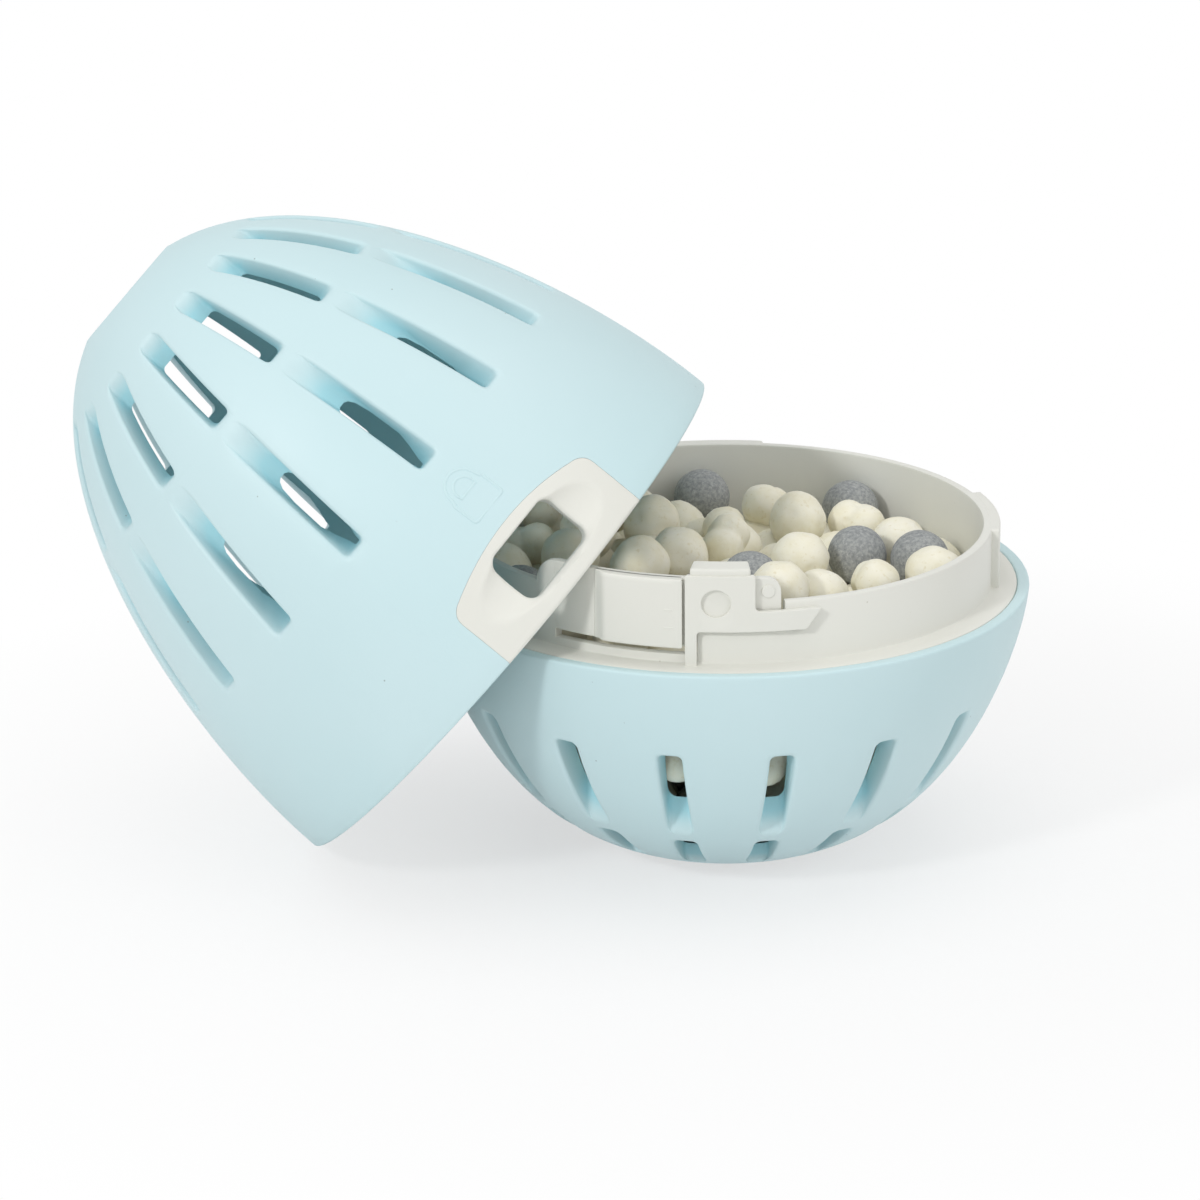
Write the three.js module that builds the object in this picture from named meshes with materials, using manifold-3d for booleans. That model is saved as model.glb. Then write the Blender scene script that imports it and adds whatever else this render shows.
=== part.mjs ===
// A laundry egg, opened: the slotted lower shell stands on its foot, full of mineral pellets,
// and the slotted upper shell leans over its left shoulder with its rim on the table.
// Millimetres, +Z up. The origin is the middle of the foot, on the table. The front is -Y.
// Azimuths are in degrees from the front, positive towards +X.
import * as THREE from 'three';
import { mergeVertices } from 'three/addons/utils/BufferGeometryUtils.js';
import Module from 'manifold-3d';

const wasm = await Module();
wasm.setup();

// Shells
const EGG_RADIUS = 47.5; // both shells at their rims
const SHELL_WALL = 2.6;
const RIM_WALL = 1.9; // shell beside the collar's shelf and beside the lid ring
const BOWL_HEIGHT = 43;
const BOWL_BELLY = 1.41; // exponents of the bowl's outline
const BOWL_SPREAD = 2.915;
const FOOT_RADIUS = 11;
const LID_HEIGHT = 77.7;
const LID_TIP_CUT = 1.33; // height taken off the dome's point by its flat tip
const LID_BELLY = 1.696; // exponents of the dome's outline
const LID_SPREAD = 2.196;
const FIT = 0.3; // clearance between pieces that seat on each other
const JOIN = 0.4; // overlap of features that are one moulding

// Wash slots, cut along the axis in two rows, from a crisp end near the rim to where the scoop fades out
const SLOT_COUNT = 16;
const SLOT_WIDTH = 4.2;
const SLOT_ROUND = 1.5;
const LID_SLOTS_START = 28; // solid band above the lid's rim
const LID_SLOTS_WEB = 1.9; // between the two rows
const LID_SHORT_LENGTH = 15.7;
const LID_CROWN = 7.6; // solid cap above the short row
const BOWL_SLOTS_START = 14.2; // solid band below the bowl's rim
const BOWL_SLOTS_WEB = 4.3;
const BOWL_SHORT_LENGTH = 6.6;
const BOWL_BASE = 4.9; // solid base below the short row

// Collar: a ring that drops into the bowl's rim. Heights are above its shelf.
const COLLAR_WALL = 1.5;
const COLLAR_RISE = 9.5;
const SKIRT_DROP = 7;
const SHELF_THICKNESS = 2;
const BRACKET_DEPTH = 1.2;
const BRACKET_COUNT = 4;
const LEG_WIDTH = 1.7;
const ARM_UNDERSIDE = 5.3;
const ARM_TOP = 8.4;
const ARM_SLANT = 2.3;

// Latch: a spring tongue cut from the collar's wall, which runs behind the keeper
const SILL = 1.4;
const LATCH_BOTTOM = 2.6;
const LATCH_TOP = 13.3;
const STRAP_THICKNESS = 1.2;
const GUARD_START = -43; // raised wall that carries the tongue's root
const LATCH_ROOT = -28;
const PLATE_START = -25.5;
const RAMP_START = -27.5; // the plate's ramp leaves the strap here
const PLATE_END = -8.8;
const KEEPER_START = -8.2;
const KEEPER_END = 5.8;
const LATCH_TIP = 11.3;
const ARM_END = 19.4;
const LATCH_ROUND = 3.6;
const TIP_GAP = 0.6;
const CAP_RISE = 1.4;
const CAP_REACH = 3;
const CAP_INSET = 1; // degrees at each end
const TAIL_BOTTOM = 8.1; // the tongue's end, above the wall that carries the keeper
const DIMPLE_RADIUS = 2.15;
const DIMPLE_DEPTH = 0.5;
const DIMPLE_AZIMUTH = -2;
const DIMPLE_HEIGHT = 9.7;

// Lid ring: seated in the lid's rim, with the finger window. Heights are above the lid's rim.
const RING_BOTTOM = 2.2;
const RING_TOP = 14.2;
const RING_WALL = 1;
const LID_PLAY = 0.3; // brackets inside the ring
const LUG_SPAN = 16;
const FRAME_AZIMUTH = 32.4;
const FRAME_WIDTH = 31.8;
const FRAME_SIDE = 10.6;
const FRAME_CROWN = 13.6;
const FRAME_ROUND = 1.6;
const WINDOW_WIDTH = 12.2;
const WINDOW_BOTTOM = 3.4;
const WINDOW_TOP = 11.4;
const WINDOW_ROUND = 2.2;
const DISH_WIDTH = 25;
const DISH_HEIGHT = 13;
const DISH_DEPTH = 2;
const DISH_BULGE = 4; // radial half-axis of the finger dish

// How the lid leans
const LID_TILT = 49.4;
const LID_YAW = -5.3;
const LID_SHIFT = 1.2; // towards the front
const LEAN_GAP = 0.3;
const TABLE_GAP = 0.1;

// Pellets and mineral balls
const PELLET_RADIUS = 4.7;
const BED_EDGE = 38.6; // height of the packed bed at the wall
const BED_MOUND = 5.4; // how much higher it is in the middle
const BED_SKIN = 3; // how far the packed pellets stand out of the bed's core

// Where pellets of the bed show, half sunk, between the loose ones, x and y as shares of their room
const SUNKEN = [
  [-0.635, -0.385], [-0.342, 0.031], [-0.222, 0.709], [0.003, 0.481], [0.028, 0.222], [0.043, -0.285],
  [0.248, 0.017], [0.288, 0.951], [0.504, 0.145], [0.627, -0.769], [0.806, 0.581], [0.937, 0.328],
];
const SUNKEN_RISE = 1; // how far their centres lie above the bed

// Where loose pellets and balls lie on the bed, likewise, in the order in which they settle
const LOOSE = [
  { name: 'mineral_ball', spots: [
    [-0.114, 0.994], [0.575, 0.818], [0.581, -0.105], [0.105, -0.533], [-0.897, -0.442],
  ] },
  { name: 'pellet', spots: [
    [0.194, 0.667], [0.325, 0.35], [0.772, 0.12], [0.593, 0.427], [-0.336, 0.293],
    [0.325, -0.254], [-0.003, -0.034], [-0.211, -0.216], [0.405, -0.635], [-0.894, 0.194],
    [-0.692, -0.085], [-0.376, -0.436], [0.649, -0.51], [-0.991, -0.125], [-0.701, 0.709],
    [-0.672, -0.738], [-0.621, 0.179], [-0.538, 0.479], [-0.447, 0.892], [-0.439, -0.897],
  ] },
  { name: 'mineral_ball', spots: [
    [0.857, -0.142], [-0.114, -0.704],
  ] },
  { name: 'pellet', spots: [
    [0.909, -0.413], [-0.826, 0.456], [0.228, -0.823],
  ] },
];

// Mesh fineness
const SHELL_SEGMENTS = 2 * SLOT_COUNT; // a facet for each slot and one for each rib
const SEGMENTS = 48;
const OUTLINE_RINGS = 9;
const LINING_RINGS = 5;
const BOWL_CROWDING = 1.8; // gathers rings where the shell curves most
const LID_CROWDING = 1.5;
const RING_STEPS = 3;
const CURVE_STEPS = 3;
const SLOT_STEPS = 1;
const DIMPLE_SIDES = 16;
const DISH_SIDES = 20;
const SEAT_SAMPLES = 8;
const LEAN_STEP = 1; // degrees between the points that the lid may meet
const LEAN_TRIES = 30;
const BED_RINGS = 4;

// Materials
const blue = new THREE.MeshStandardMaterial({ color: 0xcbe4e7, roughness: 0.45, metalness: 0 });
const white = new THREE.MeshStandardMaterial({ color: 0xe6e6e0, roughness: 0.4, metalness: 0 });
const cream = new THREE.MeshStandardMaterial({ color: 0xe8e5d0, roughness: 0.85, metalness: 0 });
const grey = new THREE.MeshStandardMaterial({ color: 0x8e918d, roughness: 0.9, metalness: 0 });

// Outlines of the two shells and of what seats in them
const bowlFloor = SHELL_WALL;
const lidPoint = LID_HEIGHT + LID_TIP_CUT;

function superellipse(share, belly, spread) {
  return Math.max(1 - share ** belly, 0) ** (1 / spread);
}
function bowlRadius(z) {
  return EGG_RADIUS * superellipse(1 - z / BOWL_HEIGHT, BOWL_BELLY, BOWL_SPREAD);
}
function bowlLining(z) {
  const share = Math.min((BOWL_HEIGHT - z) / (BOWL_HEIGHT - bowlFloor), 1);
  return (EGG_RADIUS - SHELL_WALL) * superellipse(share, BOWL_BELLY, BOWL_SPREAD);
}
function lidRadius(z) {
  return EGG_RADIUS * superellipse(z / lidPoint, LID_BELLY, LID_SPREAD);
}
function lidLining(z) {
  return (EGG_RADIUS - SHELL_WALL) * superellipse(z / (lidPoint - SHELL_WALL), LID_BELLY, LID_SPREAD);
}
function ringOuter(z) {
  return lidRadius(z) - RIM_WALL - FIT;
}
function ringInner(z) {
  return ringOuter(z) - RING_WALL;
}

// Radii and heights that follow from the sizes above
const bracketRadius = ringInner(RING_TOP) - LID_PLAY;
const collarRadius = bracketRadius - BRACKET_DEPTH;
const collarInner = collarRadius - COLLAR_WALL;
const shelfRadius = EGG_RADIUS - RIM_WALL - FIT;
const skirtBottom = BOWL_HEIGHT - SKIRT_DROP;
const collarTop = BOWL_HEIGHT + COLLAR_RISE;

// Slots by their distances from the rims
function slotRows(start, web, shortLength, solidEnd) {
  const shortStart = solidEnd - shortLength;
  return [{ start, length: shortStart - web - start }, { start: shortStart, length: shortLength }];
}
const lidSlots = slotRows(LID_SLOTS_START, LID_SLOTS_WEB, LID_SHORT_LENGTH, LID_HEIGHT - LID_CROWN);
const bowlSlots = slotRows(BOWL_SLOTS_START, BOWL_SLOTS_WEB, BOWL_SHORT_LENGTH, BOWL_HEIGHT - BOWL_BASE);

// Geometry helpers
const radians = THREE.MathUtils.degToRad;

function toSolid(geometry) {
  geometry.deleteAttribute('normal');
  geometry.deleteAttribute('uv');
  const merged = mergeVertices(geometry);
  return new wasm.Manifold(new wasm.Mesh({
    numProp: 3,
    vertProperties: new Float32Array(merged.attributes.position.array),
    triVerts: new Uint32Array(merged.index.array),
  }));
}

function toGeometry(solid) {
  const { vertProperties, triVerts } = solid.getMesh();
  const geometry = new THREE.BufferGeometry();
  geometry.setAttribute('position', new THREE.BufferAttribute(vertProperties, 3));
  geometry.setIndex(new THREE.BufferAttribute(triVerts, 1));
  geometry.computeVertexNormals();
  return geometry;
}

function piece(name, geometry, material) {
  const mesh = new THREE.Mesh(geometry, material);
  mesh.name = name;
  return mesh;
}

// A profile of [radius, height] points turned about Z, with a flat facet in the middle of the front
function turned(points, segments = SEGMENTS) {
  const profile = points.map(([r, z]) => new THREE.Vector2(r, z));
  return new THREE.LatheGeometry(profile, segments, Math.PI / segments).rotateX(Math.PI / 2);
}

function band(inner, outer, bottom, top) {
  const corners = [[inner, bottom], [outer, bottom], [outer, top], [inner, top], [inner, bottom]];
  return toSolid(turned(corners));
}

// A shape drawn as seen from the front, x across and y up, pushed outwards at an azimuth
function facing(shape, azimuth, from, to, steps = CURVE_STEPS) {
  const options = { depth: to - from, bevelEnabled: false, curveSegments: steps };
  return new THREE.ExtrudeGeometry(shape, options)
    .translate(0, 0, from)
    .rotateX(Math.PI / 2)
    .rotateZ(radians(azimuth));
}

// A sector of a flat ring seen from above; its first end may slant
function sector(inner, outer, start, end, bottom, top, innerStart = start) {
  const angle = (azimuth) => radians(azimuth - 90);
  const shape = new THREE.Shape();
  shape.absarc(0, 0, outer, angle(start), angle(end), false);
  shape.absarc(0, 0, inner, angle(end), angle(innerStart), true);
  shape.closePath();
  const options = { depth: top - bottom, bevelEnabled: false, curveSegments: 2 * CURVE_STEPS };
  return toSolid(new THREE.ExtrudeGeometry(shape, options).translate(0, 0, bottom));
}

function polygon(points) {
  return new THREE.Shape(points.map(([x, y]) => new THREE.Vector2(x, y)));
}

function roundedBox(left, right, bottom, top, round) {
  const shape = new THREE.Shape();
  shape.moveTo(left + round, bottom);
  shape.lineTo(right - round, bottom);
  shape.absarc(right - round, bottom + round, round, -Math.PI / 2, 0, false);
  shape.absarc(right - round, top - round, round, 0, Math.PI / 2, false);
  shape.absarc(left + round, top - round, round, Math.PI / 2, Math.PI, false);
  shape.absarc(left + round, bottom + round, round, Math.PI, 1.5 * Math.PI, false);
  return shape;
}

function stations(count, bottom, top, crowding = 1) {
  return Array.from({ length: count + 1 }, (_, i) => bottom + (top - bottom) * (i / count) ** crowding);
}

// Wash slots: a bar with a flat, round-cornered floor, drawn along the axis like its mould core
function slotCutter(crispEnd, floorRadius, farEnd) {
  const half = SLOT_WIDTH / 2;
  const beyond = EGG_RADIUS + SHELL_WALL;
  const [low, high] = [Math.min(crispEnd, farEnd), Math.max(crispEnd, farEnd)];
  const section = roundedBox(-half, half, floorRadius, beyond + SLOT_ROUND, SLOT_ROUND);
  const options = { depth: high - low, bevelEnabled: false, curveSegments: SLOT_STEPS };
  const bar = new THREE.ExtrudeGeometry(section, options).translate(0, 0, low).rotateZ(Math.PI);
  const opening = facing(roundedBox(-half, half, low, high, SLOT_ROUND), 0, 0, beyond, SLOT_STEPS);
  return toGeometry(toSolid(bar).intersect(toSolid(opening)));
}

function cutSlots(shell, cutter) {
  let cut = shell;
  for (let i = 0; i < SLOT_COUNT; i++) {
    cut = cut.subtract(toSolid(cutter.clone().rotateZ(radians((360 / SLOT_COUNT) * i))));
  }
  return cut;
}

// Lower shell: a bowl with a flat foot and a ledge for the collar, turned so a rib faces the front
function lowerShell() {
  const ledge = BOWL_HEIGHT - SHELF_THICKNESS - FIT;
  const outside = stations(OUTLINE_RINGS, 0, BOWL_HEIGHT, BOWL_CROWDING).slice(1);
  const inside = stations(LINING_RINGS, bowlFloor, ledge, BOWL_CROWDING).slice(1).reverse();
  const profile = [
    [0, 0], [FOOT_RADIUS, 0],
    ...outside.map((z) => [Math.max(bowlRadius(z), FOOT_RADIUS), z]),
    [EGG_RADIUS - RIM_WALL, BOWL_HEIGHT], [EGG_RADIUS - RIM_WALL, ledge],
    ...inside.map((z) => [bowlLining(z), z]),
    [FOOT_RADIUS, bowlFloor], [0, bowlFloor],
  ];
  let shell = toSolid(turned(profile, SHELL_SEGMENTS));
  for (const { start, length } of bowlSlots) {
    const crispEnd = BOWL_HEIGHT - start;
    shell = cutSlots(shell, slotCutter(crispEnd, bowlRadius(crispEnd - length), -SLOT_WIDTH));
  }
  const mesh = piece('lower_shell', toGeometry(shell), blue);
  mesh.rotation.z = radians(180 / SLOT_COUNT);
  return mesh;
}

// Collar: skirt, shelf and wall, with four bayonet brackets, the latch's guard and its keeper
const across = (azimuth) => collarRadius * Math.sin(radians(azimuth));
const shelf = (height) => BOWL_HEIGHT + height;
const legRight = across(KEEPER_START) + LEG_WIDTH;

function bracketOutline(top) {
  const left = across(KEEPER_START);
  const right = across(ARM_END);
  return [
    [left, shelf(-JOIN)], [legRight, shelf(-JOIN)], [legRight, shelf(ARM_UNDERSIDE)],
    [right - ARM_SLANT, shelf(ARM_UNDERSIDE)], [right, shelf(top)], [left, shelf(top)],
  ];
}

// A wall strip with one square end and one end whose upper corner is round
function stripOutline(squareEnd, roundEnd, bottom, top) {
  const round = LATCH_ROUND * Math.sign(roundEnd - squareEnd);
  const shape = new THREE.Shape();
  shape.moveTo(squareEnd, bottom);
  shape.lineTo(roundEnd, bottom);
  shape.lineTo(roundEnd, top - LATCH_ROUND);
  shape.quadraticCurveTo(roundEnd, top, roundEnd - round, top);
  shape.lineTo(squareEnd, top);
  return shape;
}

function keeper() {
  const capBottom = LATCH_TOP + FIT;
  const outline = bracketOutline(ARM_TOP).slice(0, 5).concat([
    [across(KEEPER_END), shelf(ARM_TOP)], [across(KEEPER_END), shelf(capBottom + JOIN)],
    [across(KEEPER_START), shelf(capBottom + JOIN)],
  ]);
  const front = band(collarRadius + FIT, bracketRadius, shelf(-JOIN), shelf(capBottom + CAP_RISE))
    .intersect(toSolid(facing(polygon(outline), 0, 0, EGG_RADIUS)));
  const cap = sector(
    collarRadius - CAP_REACH, bracketRadius - FIT, KEEPER_START + CAP_INSET, KEEPER_END - CAP_INSET,
    shelf(capBottom), shelf(capBottom + CAP_RISE),
  );
  const tieOutline = polygon([
    [legRight, shelf(ARM_UNDERSIDE)], [across(ARM_END) - ARM_SLANT, shelf(ARM_UNDERSIDE)],
    [across(ARM_END) - ARM_SLANT, shelf(TAIL_BOTTOM - FIT)], [legRight, shelf(TAIL_BOTTOM - FIT)],
  ]);
  const tie = band(collarRadius - JOIN, bracketRadius, shelf(ARM_UNDERSIDE), shelf(TAIL_BOTTOM - FIT))
    .intersect(toSolid(facing(tieOutline, 0, 0, EGG_RADIUS)));
  const dimple = new THREE.CylinderGeometry(DIMPLE_RADIUS, DIMPLE_RADIUS, 2 * DIMPLE_DEPTH, DIMPLE_SIDES)
    .translate(0, -bracketRadius, shelf(DIMPLE_HEIGHT))
    .rotateZ(radians(DIMPLE_AZIMUTH));
  return front.add(cap).add(tie).subtract(toSolid(dimple));
}

function collarRing() {
  const shelfBottom = BOWL_HEIGHT - SHELF_THICKNESS;
  let ring = toSolid(turned([
    [collarInner, skirtBottom], [collarRadius, skirtBottom], [collarRadius, shelfBottom],
    [shelfRadius, shelfBottom], [shelfRadius, BOWL_HEIGHT], [collarRadius, BOWL_HEIGHT],
    [collarRadius, collarTop], [collarInner, collarTop], [collarInner, skirtBottom],
  ]));
  const gap = polygon([
    [across(LATCH_ROOT) - FIT, shelf(SILL)], [legRight, shelf(SILL)], [legRight, shelf(TAIL_BOTTOM - FIT)],
    [across(LATCH_TIP) + TIP_GAP, shelf(TAIL_BOTTOM - FIT)],
    [across(LATCH_TIP) + TIP_GAP, collarTop + FIT], [across(LATCH_ROOT) - FIT, collarTop + FIT],
  ]);
  ring = ring.subtract(toSolid(facing(gap, 0, 0, EGG_RADIUS)));
  const guardOutline = stripOutline(
    across(LATCH_ROOT) - FIT, across(GUARD_START), shelf(ARM_UNDERSIDE), shelf(LATCH_TOP),
  );
  const guard = band(collarInner, collarRadius, shelf(ARM_UNDERSIDE), shelf(LATCH_TOP))
    .intersect(toSolid(facing(guardOutline, 0, 0, EGG_RADIUS)));
  ring = ring.add(guard).add(keeper());
  const plainBand = band(collarRadius - JOIN, bracketRadius, shelf(-JOIN), collarTop);
  for (let i = 1; i < BRACKET_COUNT; i++) {
    const outline = facing(polygon(bracketOutline(COLLAR_RISE)), (360 / BRACKET_COUNT) * i, 0, EGG_RADIUS);
    ring = ring.add(plainBand.intersect(toSolid(outline)));
  }
  return piece('collar_ring', toGeometry(ring), white);
}

// Latch tongue: a strap in the collar's wall with a raised push plate and a narrower tail
function latchTongue() {
  const tail = stripOutline(across(LATCH_ROOT), across(LATCH_TIP), shelf(TAIL_BOTTOM), shelf(LATCH_TOP));
  const rootEnd = legRight - FIT - TIP_GAP;
  const root = polygon([
    [across(LATCH_ROOT), shelf(LATCH_BOTTOM)], [rootEnd, shelf(LATCH_BOTTOM)],
    [rootEnd, shelf(TAIL_BOTTOM + JOIN)], [across(LATCH_ROOT), shelf(TAIL_BOTTOM + JOIN)],
  ]);
  const outline = toSolid(facing(tail, 0, 0, EGG_RADIUS)).add(toSolid(facing(root, 0, 0, EGG_RADIUS)));
  const strap = band(collarRadius - STRAP_THICKNESS, collarRadius, shelf(LATCH_BOTTOM), shelf(LATCH_TOP))
    .intersect(outline);
  const plate = sector(
    collarRadius - JOIN, bracketRadius, PLATE_START, PLATE_END,
    shelf(LATCH_BOTTOM), shelf(LATCH_TOP), RAMP_START,
  );
  return piece('latch_tongue', toGeometry(strap.add(plate)), white);
}

// Upper shell: a dome with a flat tip, a seat for the lid ring and a notch for its window frame,
// drawn with the window at the front
function frameShape(grow) {
  const half = FRAME_WIDTH / 2 + grow;
  const side = FRAME_SIDE + grow;
  const shape = new THREE.Shape();
  shape.moveTo(-half, -FIT);
  shape.lineTo(half, -FIT);
  shape.lineTo(half, side - FRAME_ROUND);
  shape.quadraticCurveTo(half, side, half - FRAME_ROUND, side + FRAME_ROUND / 2);
  shape.quadraticCurveTo(0, 2 * (FRAME_CROWN + grow) - side, -half + FRAME_ROUND, side + FRAME_ROUND / 2);
  shape.quadraticCurveTo(-half, side, -half, side - FRAME_ROUND);
  return shape;
}

function upperShell() {
  const seatTop = RING_TOP + FIT;
  const seat = stations(RING_STEPS, 0, seatTop);
  const outside = stations(OUTLINE_RINGS, LID_HEIGHT, 0, LID_CROWDING).reverse();
  const lining = stations(LINING_RINGS, LID_HEIGHT - SHELL_WALL, seatTop, LID_CROWDING);
  const profile = [
    [0, LID_HEIGHT - SHELL_WALL],
    ...lining.map((z) => [lidLining(z), z]),
    ...seat.reverse().map((z) => [lidRadius(z) - RIM_WALL, z]),
    ...outside.map((z) => [lidRadius(z), z]),
    [0, LID_HEIGHT],
  ];
  let shell = toSolid(turned(profile, SHELL_SEGMENTS));
  for (const { start, length } of lidSlots) {
    shell = cutSlots(shell, slotCutter(start, lidRadius(start + length), LID_HEIGHT + SLOT_WIDTH));
  }
  const notch = facing(frameShape(FIT), 0, EGG_RADIUS / 2, EGG_RADIUS + SHELL_WALL);
  return piece('upper_shell', toGeometry(shell.subtract(toSolid(notch))), blue);
}

// Lid ring: a thin band with the window frame, its finger dish, and lugs that pass under the arms
// when the window stands before the push plate
function lidRing() {
  const heights = stations(RING_STEPS, RING_BOTTOM, RING_TOP);
  let ring = toSolid(turned([
    ...heights.map((z) => [ringOuter(z), z]),
    ...heights.slice().reverse().map((z) => [ringInner(z), z]),
    [ringOuter(RING_BOTTOM), RING_BOTTOM],
  ], SHELL_SEGMENTS));
  const frameHeights = stations(RING_STEPS, 0, RING_TOP);
  const skin = toSolid(turned([
    ...frameHeights.map((z) => [lidRadius(z), z]),
    ...heights.slice().reverse().map((z) => [ringInner(z), z]),
    [lidRadius(0) - RIM_WALL, 0], [lidRadius(0), 0],
  ], SHELL_SEGMENTS));
  const frame = facing(frameShape(0), 0, EGG_RADIUS / 2, EGG_RADIUS + SHELL_WALL);
  ring = ring.add(skin.intersect(toSolid(frame)));

  const middle = (WINDOW_BOTTOM + WINDOW_TOP) / 2;
  const dish = new THREE.SphereGeometry(1, DISH_SIDES, DISH_SIDES / 2)
    .scale(DISH_WIDTH / 2, DISH_BULGE, DISH_HEIGHT / 2)
    .translate(0, -(lidRadius(middle) + DISH_BULGE - DISH_DEPTH), middle);
  const window = roundedBox(
    -WINDOW_WIDTH / 2, WINDOW_WIDTH / 2, WINDOW_BOTTOM, WINDOW_TOP, WINDOW_ROUND,
  );
  ring = ring.subtract(toSolid(dish));
  ring = ring.subtract(toSolid(facing(window, 0, EGG_RADIUS / 2, EGG_RADIUS + SHELL_WALL)));

  const plateMiddle = (PLATE_START + PLATE_END) / 2;
  const armMiddle = (KEEPER_START + ARM_END) / 2;
  for (let i = 0; i < BRACKET_COUNT; i++) {
    const centre = armMiddle - plateMiddle + (360 / BRACKET_COUNT) * i;
    ring = ring.add(sector(
      collarRadius + LID_PLAY, ringInner(RING_BOTTOM) + RING_WALL / 2, centre - LUG_SPAN / 2,
      centre + LUG_SPAN / 2, RING_BOTTOM, ARM_UNDERSIDE - LID_PLAY,
    ));
  }
  return piece('lid_ring', toGeometry(ring), white);
}

// Pellets: packed ones make the bed, and loose ones settle on top of it
const reach = PELLET_RADIUS + FIT;

function containerRadius(z) {
  const lining = bowlLining(z) * Math.cos(Math.PI / SHELL_SEGMENTS) - FIT;
  return z < skirtBottom - FIT ? lining : collarInner;
}

// The largest radius at which a pellet's centre at this height clears the wall
function seatRadius(z) {
  let radius = Infinity;
  for (let i = -SEAT_SAMPLES; i <= SEAT_SAMPLES; i++) {
    const rise = (reach * i) / SEAT_SAMPLES;
    radius = Math.min(radius, containerRadius(z + rise) - Math.sqrt(reach ** 2 - rise ** 2));
  }
  return radius;
}

function bedHeight(radius) {
  return BED_EDGE + BED_MOUND * (1 - (radius / collarInner) ** 2);
}

function spotAt([x, y]) {
  return new THREE.Vector2(x, y).clampLength(0, 1).multiplyScalar(collarInner - reach);
}

function packedPellets() {
  const centres = SUNKEN.map((share) => {
    const spot = spotAt(share);
    return new THREE.Vector3(spot.x, spot.y, bedHeight(spot.length()) + SUNKEN_RISE);
  });
  for (const { start, length } of bowlSlots) {
    const z = BOWL_HEIGHT - start - length / 2;
    const radius = seatRadius(z);
    const count = Math.floor((Math.PI * radius) / PELLET_RADIUS);
    for (let i = 0; i < count; i++) {
      const angle = (2 * Math.PI * i) / count;
      centres.push(new THREE.Vector3(radius * Math.cos(angle), radius * Math.sin(angle), z));
    }
  }
  return centres;
}

// The bed is one body: a core, with rings of pellets behind the slots and sunken ones on top
function pelletBed(centres) {
  const low = bowlFloor + reach;
  const sink = PELLET_RADIUS - BED_SKIN;
  const walls = stations(BED_RINGS, low, BED_EDGE - reach).map((z) => [seatRadius(z) + sink, z]);
  const crown = stations(BED_RINGS, walls[BED_RINGS][0], 0).map((r) => [r, bedHeight(r)]);
  const profile = [[0, bowlFloor + FIT], [walls[0][0], bowlFloor + reach / 2], ...walls, ...crown];
  let bed = toSolid(turned(profile, SEGMENTS / 2));
  centres.forEach((centre, i) => {
    const pellet = new THREE.IcosahedronGeometry(PELLET_RADIUS).rotateZ(i).rotateX(i);
    bed = bed.add(toSolid(pellet.translate(centre.x, centre.y, centre.z)));
  });
  return piece('pellet_bed', toGeometry(bed), cream);
}

// A pellet dropped at a spot comes to rest on the bed, or on a pellet that lies there already
function settle(share, resting) {
  const spot = spotAt(share);
  const slope = (2 * BED_MOUND * spot.length()) / collarInner ** 2;
  let z = bedHeight(spot.length()) + reach * Math.hypot(1, slope);
  const pitch = 2 * PELLET_RADIUS + FIT;
  for (const other of resting) {
    const apart = Math.hypot(spot.x - other.x, spot.y - other.y);
    if (apart < pitch) z = Math.max(z, other.z + Math.sqrt(pitch ** 2 - apart ** 2));
  }
  return new THREE.Vector3(spot.x, spot.y, z);
}

function loosePellets(packed) {
  const resting = packed.slice();
  const group = new THREE.Group();
  const materials = { pellet: cream, mineral_ball: grey };
  const tally = { pellet: 0, mineral_ball: 0 };
  for (const { name, spots } of LOOSE) {
    for (const spot of spots) {
      const centre = settle(spot, resting);
      resting.push(centre);
      tally[name] += 1;
      const ball = new THREE.IcosahedronGeometry(PELLET_RADIUS, 1).rotateX(tally[name]).rotateZ(tally[name]);
      ball.deleteAttribute('normal');
      ball.deleteAttribute('uv');
      const numbered = `${name}_${String(tally[name]).padStart(2, '0')}`;
      const mesh = piece(numbered, mergeVertices(ball), materials[name]);
      mesh.position.copy(centre);
      group.add(mesh);
    }
  }
  return group;
}

// Upper edges of the bowl and its collar that the lid's mouth may meet, seen along the lid's heading
function leanPoints() {
  const points = [];
  const add = (radius, azimuth, z) => {
    const point = new THREE.Vector3(0, -radius, z);
    points.push(point.applyAxisAngle(new THREE.Vector3(0, 0, 1), radians(azimuth - LID_YAW)));
  };
  for (let azimuth = -180; azimuth < 180; azimuth += LEAN_STEP) {
    add(EGG_RADIUS, azimuth, BOWL_HEIGHT);
    add(bracketRadius, azimuth, collarTop);
    if (azimuth >= GUARD_START && azimuth <= LATCH_TIP) {
      const round = Math.sqrt(Math.min((across(azimuth) - across(GUARD_START)) / LATCH_ROUND, 1));
      add(collarRadius, azimuth, shelf(LATCH_TOP - LATCH_ROUND * (1 - round) ** 2));
    }
  }
  return points;
}

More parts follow.
